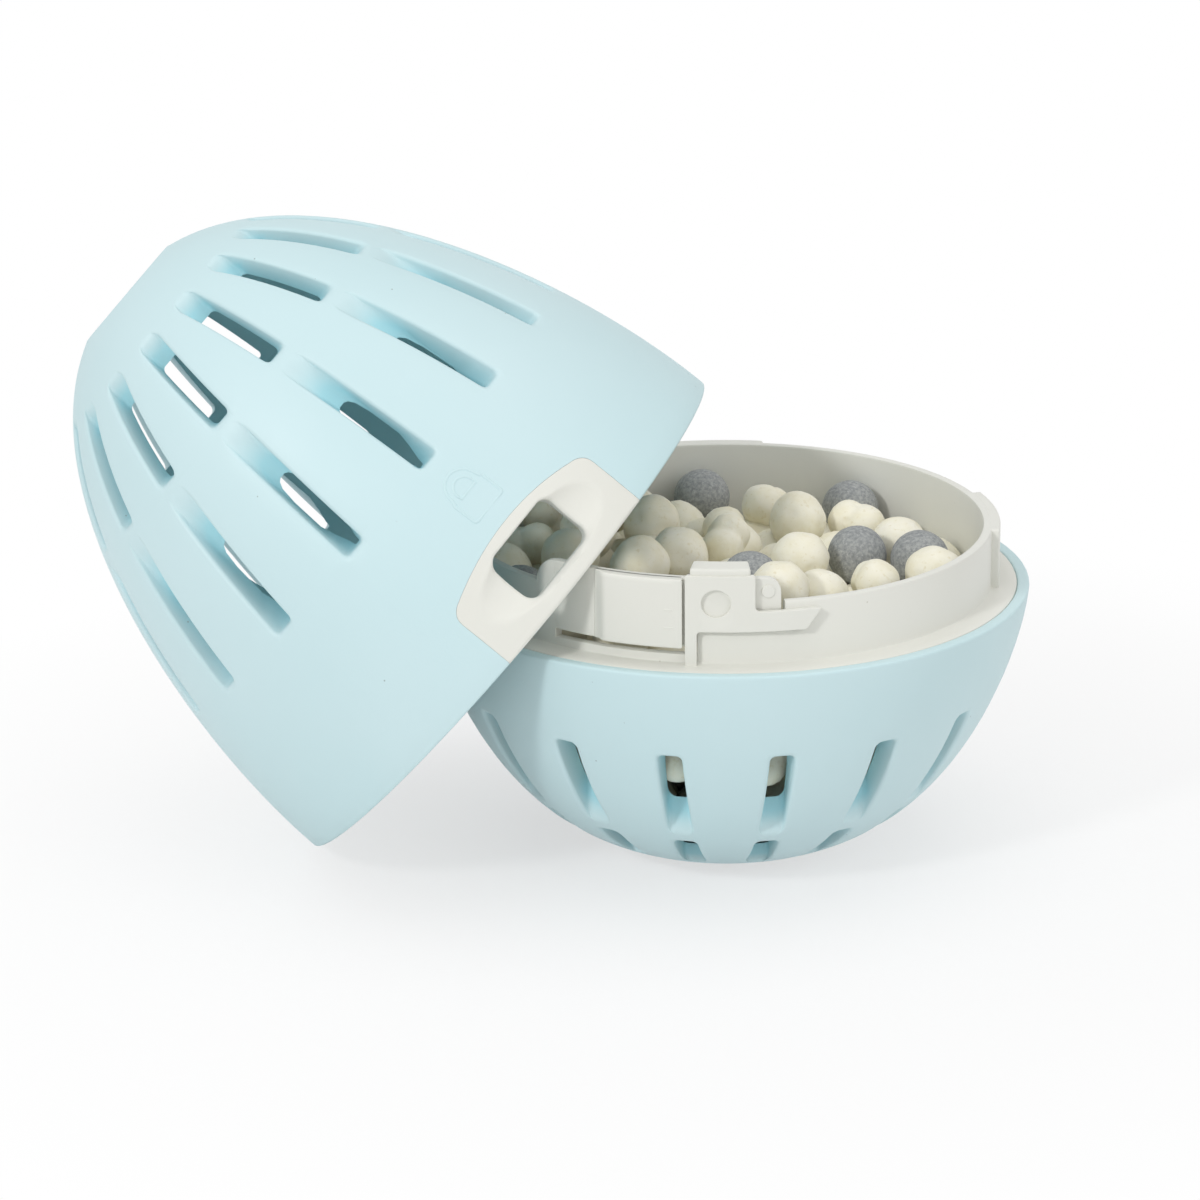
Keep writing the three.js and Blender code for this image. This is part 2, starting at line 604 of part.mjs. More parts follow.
// The lid leans with its rim on the table, pushed towards the bowl until its mouth meets the collar
function leaningLid() {
  const tilt = radians(LID_TILT);
  const height = EGG_RADIUS * Math.sin(tilt) + TABLE_GAP;
  const edges = leanPoints();
  const mouth = (z) => (z < RING_BOTTOM ? lidRadius(0) - RIM_WALL : ringInner(z));
  const meets = (distance) => edges.some((edge) => {
    const point = new THREE.Vector3(edge.x + distance, edge.y + LID_SHIFT, edge.z - height);
    point.applyAxisAngle(new THREE.Vector3(0, 1, 0), tilt);
    const radius = Math.hypot(point.x, point.y);
    return point.z > -LEAN_GAP && radius > mouth(point.z) - LEAN_GAP;
  });
  let [near, distance] = [0, 2 * EGG_RADIUS];
  for (let i = 0; i < LEAN_TRIES; i++) {
    const middle = (near + distance) / 2;
    if (meets(middle)) near = middle;
    else distance = middle;
  }
  const dome = new THREE.Group();
  dome.add(upperShell(), lidRing());
  dome.rotation.z = radians(FRAME_AZIMUTH);
  const lid = new THREE.Group();
  lid.add(dome);
  lid.position.set(-distance, -LID_SHIFT, height);
  lid.rotation.y = -tilt;
  const heading = new THREE.Group();
  heading.rotation.z = radians(LID_YAW);
  heading.add(lid);
  return heading;
}

const egg = new THREE.Group();
const packed = packedPellets();
egg.add(lowerShell(), collarRing(), latchTongue(), pelletBed(packed), loosePellets(packed), leaningLid());

export default egg;
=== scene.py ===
"""Looks for an opened laundry egg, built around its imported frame.

Sizes are in millimetres until placed.
"""

import random
from math import asin, cos, hypot, pi, radians, sin, sqrt

import bmesh
import bpy
from mathutils import Matrix, Vector, noise


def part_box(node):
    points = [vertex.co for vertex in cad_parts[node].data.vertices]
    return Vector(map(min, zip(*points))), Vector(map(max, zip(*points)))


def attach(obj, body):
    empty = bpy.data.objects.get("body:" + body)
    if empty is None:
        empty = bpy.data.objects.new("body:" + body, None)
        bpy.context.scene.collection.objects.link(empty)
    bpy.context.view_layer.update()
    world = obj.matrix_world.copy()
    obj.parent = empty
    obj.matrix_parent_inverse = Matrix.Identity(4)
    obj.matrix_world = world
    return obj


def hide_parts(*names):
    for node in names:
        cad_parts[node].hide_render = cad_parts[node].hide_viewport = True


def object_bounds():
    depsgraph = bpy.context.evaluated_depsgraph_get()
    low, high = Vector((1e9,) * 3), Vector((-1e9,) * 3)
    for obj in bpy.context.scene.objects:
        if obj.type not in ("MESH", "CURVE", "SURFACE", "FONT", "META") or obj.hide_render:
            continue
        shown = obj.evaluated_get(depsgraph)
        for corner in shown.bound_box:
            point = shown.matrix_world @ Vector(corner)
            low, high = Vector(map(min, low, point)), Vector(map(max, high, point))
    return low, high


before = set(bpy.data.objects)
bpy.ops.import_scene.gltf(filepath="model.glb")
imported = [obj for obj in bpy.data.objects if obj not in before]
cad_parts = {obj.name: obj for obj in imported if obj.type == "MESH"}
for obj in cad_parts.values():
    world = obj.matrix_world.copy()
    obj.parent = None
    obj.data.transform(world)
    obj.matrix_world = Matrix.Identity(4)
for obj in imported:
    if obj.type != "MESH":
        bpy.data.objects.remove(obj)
cad_box = [list(corner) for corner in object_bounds()]

# Sizes of the mouldings, as in the frame
MM = 0.001
MERGE = 0.0005
SLIVER = 0.0002
SMOOTH_ANGLE = 40.0
ALL_SMOOTH = 180
EGG_RADIUS = 47.5
SHELL_WALL = 2.6
LINING_RADIUS = EGG_RADIUS - SHELL_WALL
RIM_WALL = 1.9
FIT = 0.3
BOWL_HEIGHT = 43.0
BOWL_BELLY = 1.41
BOWL_SPREAD = 2.915
FOOT_RADIUS = 11.0
LID_HEIGHT = 77.7
LID_POINT = 79.03
LID_BELLY = 1.696
LID_SPREAD = 2.196

SLOT_COUNT = 16
SLOT_HALF = 1.85
SLOT_EDGE = 0.7
SLOT_CORNER = 0.7
SLOT_ROUND = 0.9
SCOOP_ROUND = 1.9
SCOOP_BLEND = 0.6
SCOOP_REACH = 4.0
SCOOP_NARROWEST = 0.04
FADE_ANGLES = (75, 62, 50, 39, 29, 19)
LID_DRAFT = 0.06
BOWL_DRAFT = 0.0
LID_BAND = (17.0, 26.0, 28.0, 41.0)
LID_BAND_DEPTH = 2.1
LID_THICKER = 1.1
LID_SLOTS = [(28.0, 24.6, 0.7, 1.4), (54.8, 16.2, 0.1, 0.7)]
BOWL_BAND = (9.0, 13.5, 25.0, 31.0)
BOWL_THICKER = 1.2
BOWL_SLOTS = [(14.2, 15.7, 0.2, 1.1), (32.1, 6.9, 0.1, 0.7)]
LID_LAST = 71.9
BOWL_LAST = 39.9
LID_EVEN = (21.0, 16.0)
BOWL_EVEN = (24.0, 17.0)
TIP_SOFT = 0.7
TIP_NEAR = 0.25
TIP_FALL = 0.09
FOOT_BLEND = 4.0
# How the blue plastic's painted shade grows with depth in the wall and fades in near the rim
SHADE_DEPTH_POWER = 2.5
SHADE_DEPTH_RIM = (1.0, 6.0)
NOTCH_GAP = 0.03
NOTCH_BACK = 40.0
NOTCH_BELOW = 1.0

# Spacing of the shells' rows
HOLE_PITCH = 2.0
SCOOP_PITCH = 0.9
PLAIN_PITCH = 1.8
CROWN_PITCH = 0.9
SEAT_STEP = 0.05
SEAT_ROWS = 5
CORNER_STEPS = 8
HALVINGS = 50

# Collar and latch
COLLAR_RADIUS = 41.6
COLLAR_WALL = 1.5
COLLAR_INNER = COLLAR_RADIUS - COLLAR_WALL
COLLAR_RISE = 9.5
BRACKET_RADIUS = 42.8
SKIRT_DROP = 7.0
SHELF_THICKNESS = 2.0
SHELF_RADIUS = EGG_RADIUS - RIM_WALL - 0.04
SOFT_EDGE = 0.35
EASE = 0.3
CHAMFER = 0.3
SHELF_CHAMFER = 0.1
FILLET = [(0.5, 0.0), (0.15, 0.12), (0.0, 0.45)]
INSET = 0.01
GUARD_START = -43.0
GUARD_FREE = -37.9
GUARD_LAP = 0.3
GUARD_GAP = 0.03
GUARD_SEAM = 0.05
GUARD_FOOT = 0.2
WALL_SEAM = 0.3
WALL_ROW = -0.5
LATCH_ROOT = -28.0
PLATE_START = -24.8
PLATE_END = -8.8
KEEPER_START = -8.2
KEEPER_END = 5.8
LATCH_TIP = 11.3
ARM_END = 19.4
SILL = 1.4
LATCH_BOTTOM = 2.6
LATCH_TOP = 13.3
LATCH_ROUND = 3.6
TAIL_BOTTOM = 8.1
TIP_GAP = 0.6
DIMPLE_RADIUS = 2.15
DIMPLE_AZIMUTH = -2.0
DIMPLE_HEIGHT = 9.7
ARM_UNDERSIDE = 5.3
ARM_TOP = 8.4
ARM_SLANT = 2.3
LEG_WIDTH = 1.7
LEG_SUNK = 0.3
BRACKET_ROOT = 0.5
BRACKET_CORNERS = [0.1, 0.1, 0.8, 0.5, 0.6, 0.5]
KEEPER_BROW = 0.7
KEEPER_CORNERS = [0.1, 0.1, 0.7, 0.4, 0.5, 0.9, 0.4, 0.4]
HOLLOW_DROP = 1.3
HOLLOW_RADIUS = 2.6
HOLLOW_DEPTH = 0.2
DIMPLE_LAP = 0.06
DIMPLE_RISE = 0.12
CAP_INSET = 0.9
CAP_DEPTH = 4.2
TIE_ROOT = 0.4
TIE_GAP = 0.1
TIE_FOOT = 0.08
TIE_UNDER = 0.05
TIE_BELOW = 0.12
STRAP_THICKNESS = 1.2
STRAP_GAP = 0.12
STRAP_CORNERS = [0.05, 0.4, 0.3, 0.4, LATCH_ROUND, 0.05]
PLATE_THICKNESS = 1.6
PLATE_CORNERS = [0.1, 0.35, 0.35, 0.1]
PLATE_ROUND = 0.25
ROOT_SHARE = 0.25
MARK_AZIMUTH = 8.6
MARK_HEIGHT = 11.2
MARK_RADIUS = 1.0
MARK_SUNK = 0.2
BAR_LEVELS = (5.6, 8.4)
BAR_LENGTH = 1.3
BAR_WIDTH = 0.3
BAR_SUNK = 0.25

# Lid ring and sign
RING_BOTTOM = 2.2
RING_TOP = 14.2
RING_WALL = 1.0
RING_SOFT = 0.15
RING_ROWS = 8
RING_COLUMNS = 160
BAND_START = 20.2
FRAME_AZIMUTH = 32.4
FRAME_WIDTH = 31.8
FRAME_SIDE = 10.6
FRAME_CROWN = 13.6
FRAME_ROUND = 1.6
WINDOW_WIDTH = 13.6
WINDOW_BOTTOM = 2.95
WINDOW_TOP = 11.95
WINDOW_MIDDLE = (WINDOW_BOTTOM + WINDOW_TOP) / 2
WINDOW_ROUND = 1.9
WINDOW_EDGE = 0.45
DISH_HALF = (34.0, 4.0, 5.7)
DISH_DEPTH = 2.1
DISH_SOFT = 0.35
DISH_RISE = 6
LUG_COUNT = 4
LUG_SPAN = 16
LUG_TOP = 5.0
SIGN_HALF = 3.2
SIGN_BOTTOM = 17.0
SIGN_TOP = 21.0
SIGN_CORNERS = [0.2, 0.6, 0.6, 0.2]
SHACKLE_OUTER = (2.75, 21.8)
SHACKLE_INNER = (1.7, 21.6)
SHACKLE_FOOT = 20.9
SHACKLE_STEPS = 14
LINE_HALF = 0.26
LINE_RISE = 0.17
LINE_SUNK = 0.06
LINE_STEPS = 6

# Pellets: sizes are shares of the radius, in ranges where they are drawn by chance
PELLET_RADIUS = 4.7
LOOSE_DETAIL = 4
BED_DETAIL = 3
BED_SEED = 100
BALL_SIZE = 0.98
TWIN_EVERY = 3
TWIN_APART = (0.26, 0.36)
TWIN_SIZES = ((0.68, 0.74), (0.7, 0.76))
FLAT_COUNT = (1, 3)
FLAT_LEVEL = (0.86, 0.95)
FLAT_FACING = 0.2
FLAT_SHARE = 0.7
PIT_COUNT = 4
PIT_WIDTH = (0.12, 0.34)
PIT_DEPTH = (0.03, 0.085)
NOISE_FAR = (-50, 50)
SWELL = 0.07
SWELL_GREY = 0.012
SWELL_SCALE = 1.4
GRAIN = 0.007
GRAIN_SCALE = 7.0

# The bed: its height, and where its pellets lie
BED_EDGE = 38.6
BED_RISE = 5.4
SUNKEN_RISE = 1.0
FILLER_PITCH = 8.2
FILLER_ROW = 0.866
FILLER_REACH = 5
FILLER_GAP = 0.4
FILLER_LAYERS = ((1.5, 0.0), (6.5, 0.5), (11.5, 0.25))
CLOSEST = 5.4
WALL_LEVELS = (
    (36.6, 0.0, 0.0), (33.8, 0.0, 0.0), (30.6, 0.0, 4.0),
    (22.3, 2.5, 4.0), (14.6, 4.0, 4.0), (8.2, 4.0, 4.0),
)
WALL_GAP = 5.1
WALL_SECOND = 8.6
WALL_HALF_PITCH = 4.75
WALL_TURN = 0.37
SLOT_LEVELS = ((11.0, 19.5), (32.0, 36.7), (24.8, 32.7))
SUNKEN_SPOTS = [
    (-22.3, -13.5), (-12.0, 1.1), (-7.8, 24.9), (0.1, 16.9), (1.0, 7.8), (1.5, -10.0),
    (8.7, 0.6), (10.1, 33.4), (17.7, 5.1), (22.0, -27.0), (28.3, 20.4), (32.9, 11.5),
]

# Where the lid leans
LID_TILT = 49.4
LID_YAW = -5.3
LID_CENTRE = (-34.3396, 1.9804, 36.1654)


# Outlines of the shells, by distance from the rim
def superellipse(share, belly, spread):
    return max(1.0 - max(share, 0.0) ** belly, 0.0) ** (1.0 / spread)


def bowl_outer(h):
    return EGG_RADIUS * superellipse(h / BOWL_HEIGHT, BOWL_BELLY, BOWL_SPREAD)


def clamp(value):
    return min(max(value, 0.0), 1.0)


def step(value, low, high):
    share = clamp((value - low) / (high - low))
    return share * share * (3.0 - 2.0 * share)


def bowl_lining(h):
    """The bowl's inside: thicker along the upper slots."""
    share = h / (BOWL_HEIGHT - SHELL_WALL)
    plain = LINING_RADIUS * superellipse(share, BOWL_BELLY, BOWL_SPREAD)
    low, full, falling, gone = BOWL_BAND
    return plain - BOWL_THICKER * step(h, low, full) * (1.0 - step(h, falling, gone))


def lid_outer(h):
    return EGG_RADIUS * superellipse(h / LID_POINT, LID_BELLY, LID_SPREAD)


def lid_lining(h):
    """The dome's inside: thicker along the slots, most at the lower ends of the long ones."""
    share = h / (LID_POINT - SHELL_WALL)
    plain = LINING_RADIUS * superellipse(share, LID_BELLY, LID_SPREAD)
    low, full, falling, gone = LID_BAND
    fall = clamp((h - falling) / (gone - falling))
    return plain - (LID_THICKER + LID_BAND_DEPTH * (1.0 - fall)) * step(h, low, full)


def round_over(distance, radius):
    """How far a rounded edge falls away at a distance from it."""
    if distance >= radius:
        return 0.0
    return radius - sqrt(radius**2 - (radius - max(distance, 0.0)) ** 2)


def solve(function, value, low, high):
    """The distance between low and high at which a falling function takes a value."""
    for _ in range(HALVINGS):
        middle = (low + high) / 2
        if function(middle) > value:
            low = middle
        else:
            high = middle
    return low


def spread_out(start, end, count):
    return [start + (end - start) * k / count for k in range(1, count + 1)]


def paced(start, end, pitch, least=1):
    return spread_out(start, end, max(int((end - start) / pitch), least))


# Objects
def smooth(mesh, angle):
    mesh.shade_smooth()
    mesh.set_sharp_from_angle(angle=radians(angle))


def add_object(name, data):
    obj = bpy.data.objects.new(name, data)
    bpy.context.scene.collection.objects.link(obj)
    return obj


def mesh_from(name, bm, matrix=None):
    """A mesh in metres from a bmesh in millimetres."""
    bmesh.ops.remove_doubles(bm, verts=bm.verts, dist=MERGE)
    bmesh.ops.dissolve_degenerate(bm, edges=bm.edges, dist=SLIVER)
    bmesh.ops.recalc_face_normals(bm, faces=bm.faces)
    if matrix is not None:
        bm.transform(matrix)
    bm.transform(Matrix.Scale(MM, 4))
    mesh = bpy.data.meshes.new(name)
    bm.to_mesh(mesh)
    bm.free()
    return mesh


def new_object(name, bm, body, slot, matrix=None, smooth_angle=SMOOTH_ANGLE):
    mesh = mesh_from(name, bm, matrix)
    obj = add_object(name, mesh)
    mesh.materials.append(LOOKS[slot])
    smooth(mesh, smooth_angle)
    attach(obj, body)
    return obj


def mark_shade_depth(mesh, matrix, outer, height):
    """Stores how deep each point lies in the shell's wall, from 0 to 1, as the mask for the painted
    shade that deepens the blue plastic inside and in the slots.
    """
    to_rim = (Matrix.Scale(MM, 4) @ matrix).inverted()
    layer = mesh.attributes.new("depth", "FLOAT", "POINT")
    for point, value in zip(mesh.vertices, layer.data):
        place = to_rim @ point.co
        below = min(outer(place.z) - hypot(place.x, place.y), height - place.z)
        share = clamp(below / SHELL_WALL)
        value.value = share**SHADE_DEPTH_POWER * step(place.z, *SHADE_DEPTH_RIM)


def rotation(angle, axis):
    return Matrix.Rotation(radians(angle), 4, axis)


lid_lean = rotation(LID_YAW, "Z") @ rotation(-LID_TILT, "Y") @ rotation(FRAME_AZIMUTH, "Z")
lid_matrix = Matrix.Translation(LID_CENTRE) @ lid_lean


# Shells: a grid of rows from the rim to the pole, with columns gathered at the slots
QUARTER = [radians(22.5 * k) for k in range(5)]
RIBS = 3


def shell_columns():
    """One sector's columns: side of the slot, kind, angle on the soft edge or the floor's corner."""
    side = [("edge", angle) for angle in QUARTER] + [("floor", angle) for angle in QUARTER]
    columns = [(-1.0, kind, angle) for kind, angle in side]
    columns.append((0.0, "floor", pi / 2))
    columns += [(1.0, kind, angle) for kind, angle in side[::-1]]
    return columns + [((k + 1) / (RIBS + 1), "rib", 0.0) for k in range(RIBS)]


COLUMNS = shell_columns()
FIRST_OPEN = 4
LAST_OPEN = len(COLUMNS) - RIBS - 5
MOST_SINE = 0.999


def plain_offset(column):
    """How far from the slot's middle a column runs, or None on a rib."""
    side, kind, angle = column
    if kind == "rib":
        return None
    if kind == "edge":
        return side * (SLOT_HALF + SLOT_EDGE * (1.0 - sin(angle)))
    return side * (SLOT_HALF - SLOT_CORNER * (1.0 - cos(angle)))


def plain_row(h, r_out, r_in):
    return [(plain_offset(column), h, r_out, r_in, 1.0) for column in COLUMNS], False


def crisp_rows(start, taper, outer, inner):
    """The slot's crisp end: a soft edge that runs round its two corners."""
    rows = []
    for angle in QUARTER:
        share = 1.0 - sin(angle)
        points = []
        for column in COLUMNS:
            x = plain_offset(column)
            across = SLOT_HALF if x is None else min(abs(x), SLOT_HALF)
            beyond = max(across - (SLOT_HALF - SLOT_ROUND), 0.0)
            edge = start + SLOT_ROUND - sqrt(max(SLOT_ROUND**2 - beyond**2, 0.0))
            h = edge - share * (edge - start + SLOT_EDGE)
            depth = 0.0
            if x is not None:
                aside = abs(x) - (SLOT_HALF - SLOT_ROUND)
                beside = start - h
                if aside > 0.0:
                    beside = hypot(aside, h - start - SLOT_ROUND) - SLOT_ROUND
                depth = round_over(beside, SLOT_EDGE)
            points.append((x, h, outer(h) - depth, inner(h), 1.0 - taper * (1.0 - share)))
        rows.append((points, angle == QUARTER[-1]))
    return rows


def scoop_depth(depth):
    """The scoop's depth, eased to nothing where its floor comes up to the surface."""
    if depth >= SCOOP_BLEND:
        return depth
    return max(depth + SCOOP_BLEND, 0.0) ** 2 / (4 * SCOOP_BLEND)


def slot_rows(slot, draft, outer, inner):
    """Rows of a slot: its crisp end, the hole, its round nose, and the scoop until it fades out."""
    start, length, taper, round_floor = slot
    end = start + length

    def floor(h):
        return outer(end) + draft * (end - h)

    def nose(angle):
        lift = round_floor * (1.0 - sin(angle))
        return solve(lambda h: inner(h) - floor(h) - lift, 0.0, start, end)

    side_nose = nose(0.0)
    rows = crisp_rows(start, taper, outer, inner)
    open_from = start + SLOT_ROUND
    for h in paced(open_from, side_nose, HOLE_PITCH, least=2)[:-1]:
        points = []
        narrow = 1.0 - taper * (side_nose - h) / (side_nose - start)
        for column in COLUMNS:
            depth = SLOT_EDGE * (1.0 - cos(column[2])) if column[1] == "edge" else 0.0
            points.append((plain_offset(column), h, outer(h) - depth, inner(h), narrow))
        rows.append((points, True))
    tail = solve(lambda h: outer(h) - floor(h), -SCOOP_BLEND, end, end + SCOOP_REACH)
    fade = tail - SCOOP_ROUND
    levels = [side_nose] + paced(side_nose, fade, SCOOP_PITCH, least=2)
    levels += [fade + SCOOP_ROUND * cos(radians(a)) for a in FADE_ANGLES] + [tail]
    for level in levels:
        share = (level - side_nose) / (tail - side_nose)
        beyond = max((level - fade) / SCOOP_ROUND, 0.0)
        wide = sqrt(max(1.0 - beyond**2, SCOOP_NARROWEST))
        points = []
        for side, kind, angle in COLUMNS:
            h = level
            if kind == "floor":
                h = nose(angle) * (1.0 - share) + tail * share
            deep = scoop_depth(outer(h) - floor(h))
            soft = min(SLOT_EDGE, deep / 2)
            corner = min(round_floor, deep / 2)
            x, depth = None, 0.0
            if kind == "edge":
                x = side * (SLOT_HALF * wide + SLOT_EDGE * (1.0 - sin(angle)))
                depth = soft * (1.0 - cos(angle))
            elif kind == "floor":
                x = side * (SLOT_HALF - round_floor * (1.0 - cos(angle))) * wide
                depth = deep - corner * (1.0 - sin(angle))
            points.append((x, h, outer(h) - depth, inner(h), 1.0))
        rows.append((points, False))
    return rows


def shell_rows(outer, inner, slots, draft, seat_top, last):
    rows = []
    for angle in (0, 30, 60, 90):
        back = SOFT_EDGE * (1 - sin(radians(angle)))
        h = SOFT_EDGE * (1 - cos(radians(angle)))
        rows.append(plain_row(h, outer(h) - back, inner(h) + back))

    def plain(heights):
        return [plain_row(h, outer(h), inner(h)) for h in heights]

    seat = spread_out(SOFT_EDGE, seat_top - SEAT_STEP, SEAT_ROWS) + [seat_top + SEAT_STEP]
    rows += plain(seat)
    at = seat[-1]
    for slot in slots:
        before = slot[0] - SLOT_EDGE
        rows += plain(paced(at, before, PLAIN_PITCH)[:-1])
        rows += slot_rows(slot, draft, outer, inner)
        at = rows[-1][0][0][1]
    return rows + plain(paced(at, last, CROWN_PITCH))


def shell_bmesh(rows, cap, even_from, even_to):
    """A closed shell in rim coordinates. The cap is a list of outer and inner points, pole last."""
    slot_width = len(COLUMNS) - RIBS
    pitch = 2 * pi / SLOT_COUNT
    outermost = SLOT_HALF + SLOT_EDGE
    count = SLOT_COUNT * len(COLUMNS)
    bm = bmesh.new()

    def ring(points, which):
        verts = []
        for sector in range(SLOT_COUNT):
            for j, point in enumerate(points):
                x, h, radius = point[0], point[1], point[2 + which]
                even = clamp((even_from - radius) / (even_from - even_to))
                edge = asin(min(outermost / radius, MOST_SINE))
                if x is None:
                    angle = edge + (pitch - 2 * edge) * COLUMNS[j][0]
                else:
                    x = x * point[4] if which else x
                    angle = asin(max(min(x / radius, MOST_SINE), -MOST_SINE))
                plain = pitch * (j - (slot_width - 1) / 2) / len(COLUMNS)
                angle = angle * (1 - even) + plain * even + sector * pitch
                verts.append(bm.verts.new((radius * sin(angle), -radius * cos(angle), h)))
        return verts

    outside = [ring(points, 0) for points, _ in rows]
    inside = [ring(points, 1) for points, _ in rows]
    opened = [is_open for _, is_open in rows]
    for (r_out, h_out), (r_in, h_in) in cap[:-1]:
        outside.append(ring(plain_row(h_out, r_out, r_in)[0], 0))
        inside.append(ring(plain_row(h_in, r_out, r_in)[0], 1))
        opened.append(False)

    def is_hole(i, j):
        return 0 <= i < len(outside) - 1 and opened[i] and FIRST_OPEN <= j % len(COLUMNS) < LAST_OPEN

    def bridge(i, j, m, n):
        bm.faces.new((outside[i][j], outside[m][n], inside[m][n], inside[i][j]))

    for i in range(len(outside) - 1):
        for j in range(count):
            k = (j + 1) % count
            if not is_hole(i, j):
                bm.faces.new((outside[i][j], outside[i][k], outside[i + 1][k], outside[i + 1][j]))
                bm.faces.new((inside[i][j], inside[i + 1][j], inside[i + 1][k], inside[i][k]))
                continue
            if not is_hole(i, j - 1):
                bridge(i, j, i + 1, j)
            if not is_hole(i, j + 1):
                bridge(i, k, i + 1, k)
            if not is_hole(i - 1, j):
                bridge(i, j, i, k)
            if not is_hole(i + 1, j):
                bridge(i + 1, j, i + 1, k)
    for j in range(count):
        k = (j + 1) % count
        bm.faces.new((outside[0][j], inside[0][j], inside[0][k], outside[0][k]))
    for rings, (_, height) in ((outside, cap[-1][0]), (inside, cap[-1][1])):
        tip = bm.verts.new((0.0, 0.0, height))
        for j in range(count):
            bm.faces.new((rings[-1][j], rings[-1][(j + 1) % count], tip))
    loose = [v for v in bm.verts if not v.link_faces]
    bmesh.ops.delete(bm, geom=loose, context="VERTS")
    return bm


def lid_seat(h):
    return lid_outer(h) - RIM_WALL if h < RING_TOP + FIT else lid_lining(h)


def bowl_seat(h):
    return EGG_RADIUS - RIM_WALL if h < SHELF_THICKNESS + FIT else bowl_lining(h)


def shell_cap(last, radii, outer, inner, point, top, form, ease):
    """Outer and inner points from the last row to the pole, with the outside eased to a flat."""
    points = []
    for radius in radii:
        h_out = ease(radius, point * superellipse(radius / EGG_RADIUS, *form))
        inward = radius * inner(last) / outer(last)
        h_in = (point - SHELL_WALL) * superellipse(inward / LINING_RADIUS, *form)
        points.append(((radius, h_out), (inward, min(h_in, top - SHELL_WALL))))
    return points + [((0.0, top), (0.0, top - SHELL_WALL))]


def lid_cap():
    """The dome's crown, up to its flat tip with a softened edge."""
    flat = lid_outer(LID_HEIGHT)
    radii = spread_out(lid_outer(LID_LAST), flat + 2 * TIP_SOFT, 7)
    radii += [flat + gap for gap in (TIP_SOFT, TIP_NEAR, -TIP_NEAR, -TIP_SOFT)]
    radii += [flat * share for share in (0.6, 0.3)]

    def ease(radius, h):
        if radius >= flat + TIP_SOFT:
            return h
        rounding = max((radius - flat + TIP_SOFT) / (2 * TIP_SOFT), 0.0)
        return LID_HEIGHT - TIP_FALL * rounding**2

    form = (LID_SPREAD, LID_BELLY)
    return shell_cap(LID_LAST, radii, lid_outer, lid_lining, LID_POINT, LID_HEIGHT, form, ease)


def bowl_cap():
    """The bowl's underside, down to its flat foot."""
    radii = spread_out(bowl_outer(BOWL_LAST), FOOT_RADIUS + 3.0, 6)
    radii += [FOOT_RADIUS + gap for gap in (2.0, 1.0, 0.0)]
    radii += [FOOT_RADIUS * share for share in (0.7, 0.35)]

    def ease(radius, h):
        return h + (BOWL_HEIGHT - h) * (1.0 - step(radius, FOOT_RADIUS, FOOT_RADIUS + FOOT_BLEND))

    form = (BOWL_SPREAD, BOWL_BELLY)
    return shell_cap(BOWL_LAST, radii, bowl_outer, bowl_lining, BOWL_HEIGHT, BOWL_HEIGHT, form, ease)


# Plates: a flat outline, bevelled, cut into a fine grid and then bent to its place
def outline_mesh(outlines, thickness, bevel, spacing):
    """A plate with rounded edges: x and y as drawn, z from 0 at the back to its thickness."""
    curve = bpy.data.curves.new("outline", "CURVE")
    curve.dimensions = "2D"
    curve.fill_mode = "BOTH"
    curve.extrude = thickness / 2 - bevel
    curve.bevel_depth = bevel
    curve.bevel_resolution = 2
    curve.offset = -bevel
    for points in outlines:
        spline = curve.splines.new("POLY")
        spline.points.add(len(points) - 1)
        for point, (x, y) in zip(spline.points, points):
            point.co = (x, y, 0.0, 1.0)
        spline.use_cyclic_u = True
    holder = add_object("outline", curve)
    bpy.context.view_layer.update()
    graph = bpy.context.evaluated_depsgraph_get()
    mesh = bpy.data.meshes.new_from_object(holder.evaluated_get(graph))
    bpy.data.objects.remove(holder)
    bpy.data.curves.remove(curve)
    bm = bmesh.new()
    bm.from_mesh(mesh)
    bpy.data.meshes.remove(mesh)
    bmesh.ops.remove_doubles(bm, verts=bm.verts, dist=MERGE)
    for axis, normal in enumerate((Vector((1.0, 0.0, 0.0)), Vector((0.0, 1.0, 0.0)))):
        low = min(v.co[axis] for v in bm.verts)
        high = max(v.co[axis] for v in bm.verts)
        for k in range(1, int((high - low) / spacing)):
            place = normal * (low + k * spacing)
            geometry = bm.verts[:] + bm.edges[:] + bm.faces[:]
            bmesh.ops.bisect_plane(bm, geom=geometry, plane_co=place, plane_no=normal)
    bmesh.ops.translate(bm, verts=bm.verts, vec=(0.0, 0.0, thickness / 2))
    return bm


def rectangle(left, low, right, high):
    return [(left, low), (right, low), (right, high), (left, high)]


def turned(bm, profile, azimuth, rise=0.0):
    """A profile of radius and height, set up at an azimuth."""
    angle = radians(azimuth)
    across, along = sin(angle), -cos(angle)
    return [bm.verts.new((r * across, r * along, rise + z)) for r, z in profile]


def skin(bm, rings, closed=True):
    """Faces between rings of points, and from the last ring back to the first if closed."""
    for ring, following in zip(rings, rings[1:] + (rings[:1] if closed else [])):
        for j in range(len(ring)):
            k = (j + 1) % len(ring)
            bm.faces.new((ring[j], following[j], following[k], ring[k]))


def bend(bm, place):
    """Moves each point of a plate to where a function puts its x, y and depth."""
    for v in bm.verts:
        v.co = place(*v.co)
    return bm


def join(*parts):
    """One bmesh of several, freeing them."""
    whole = bmesh.new()
    for part in parts:
        mesh = bpy.data.meshes.new("part")
        bmesh.ops.recalc_face_normals(part, faces=part.faces)
        part.to_mesh(mesh)
        part.free()
        whole.from_mesh(mesh)
        bpy.data.meshes.remove(mesh)
    return whole


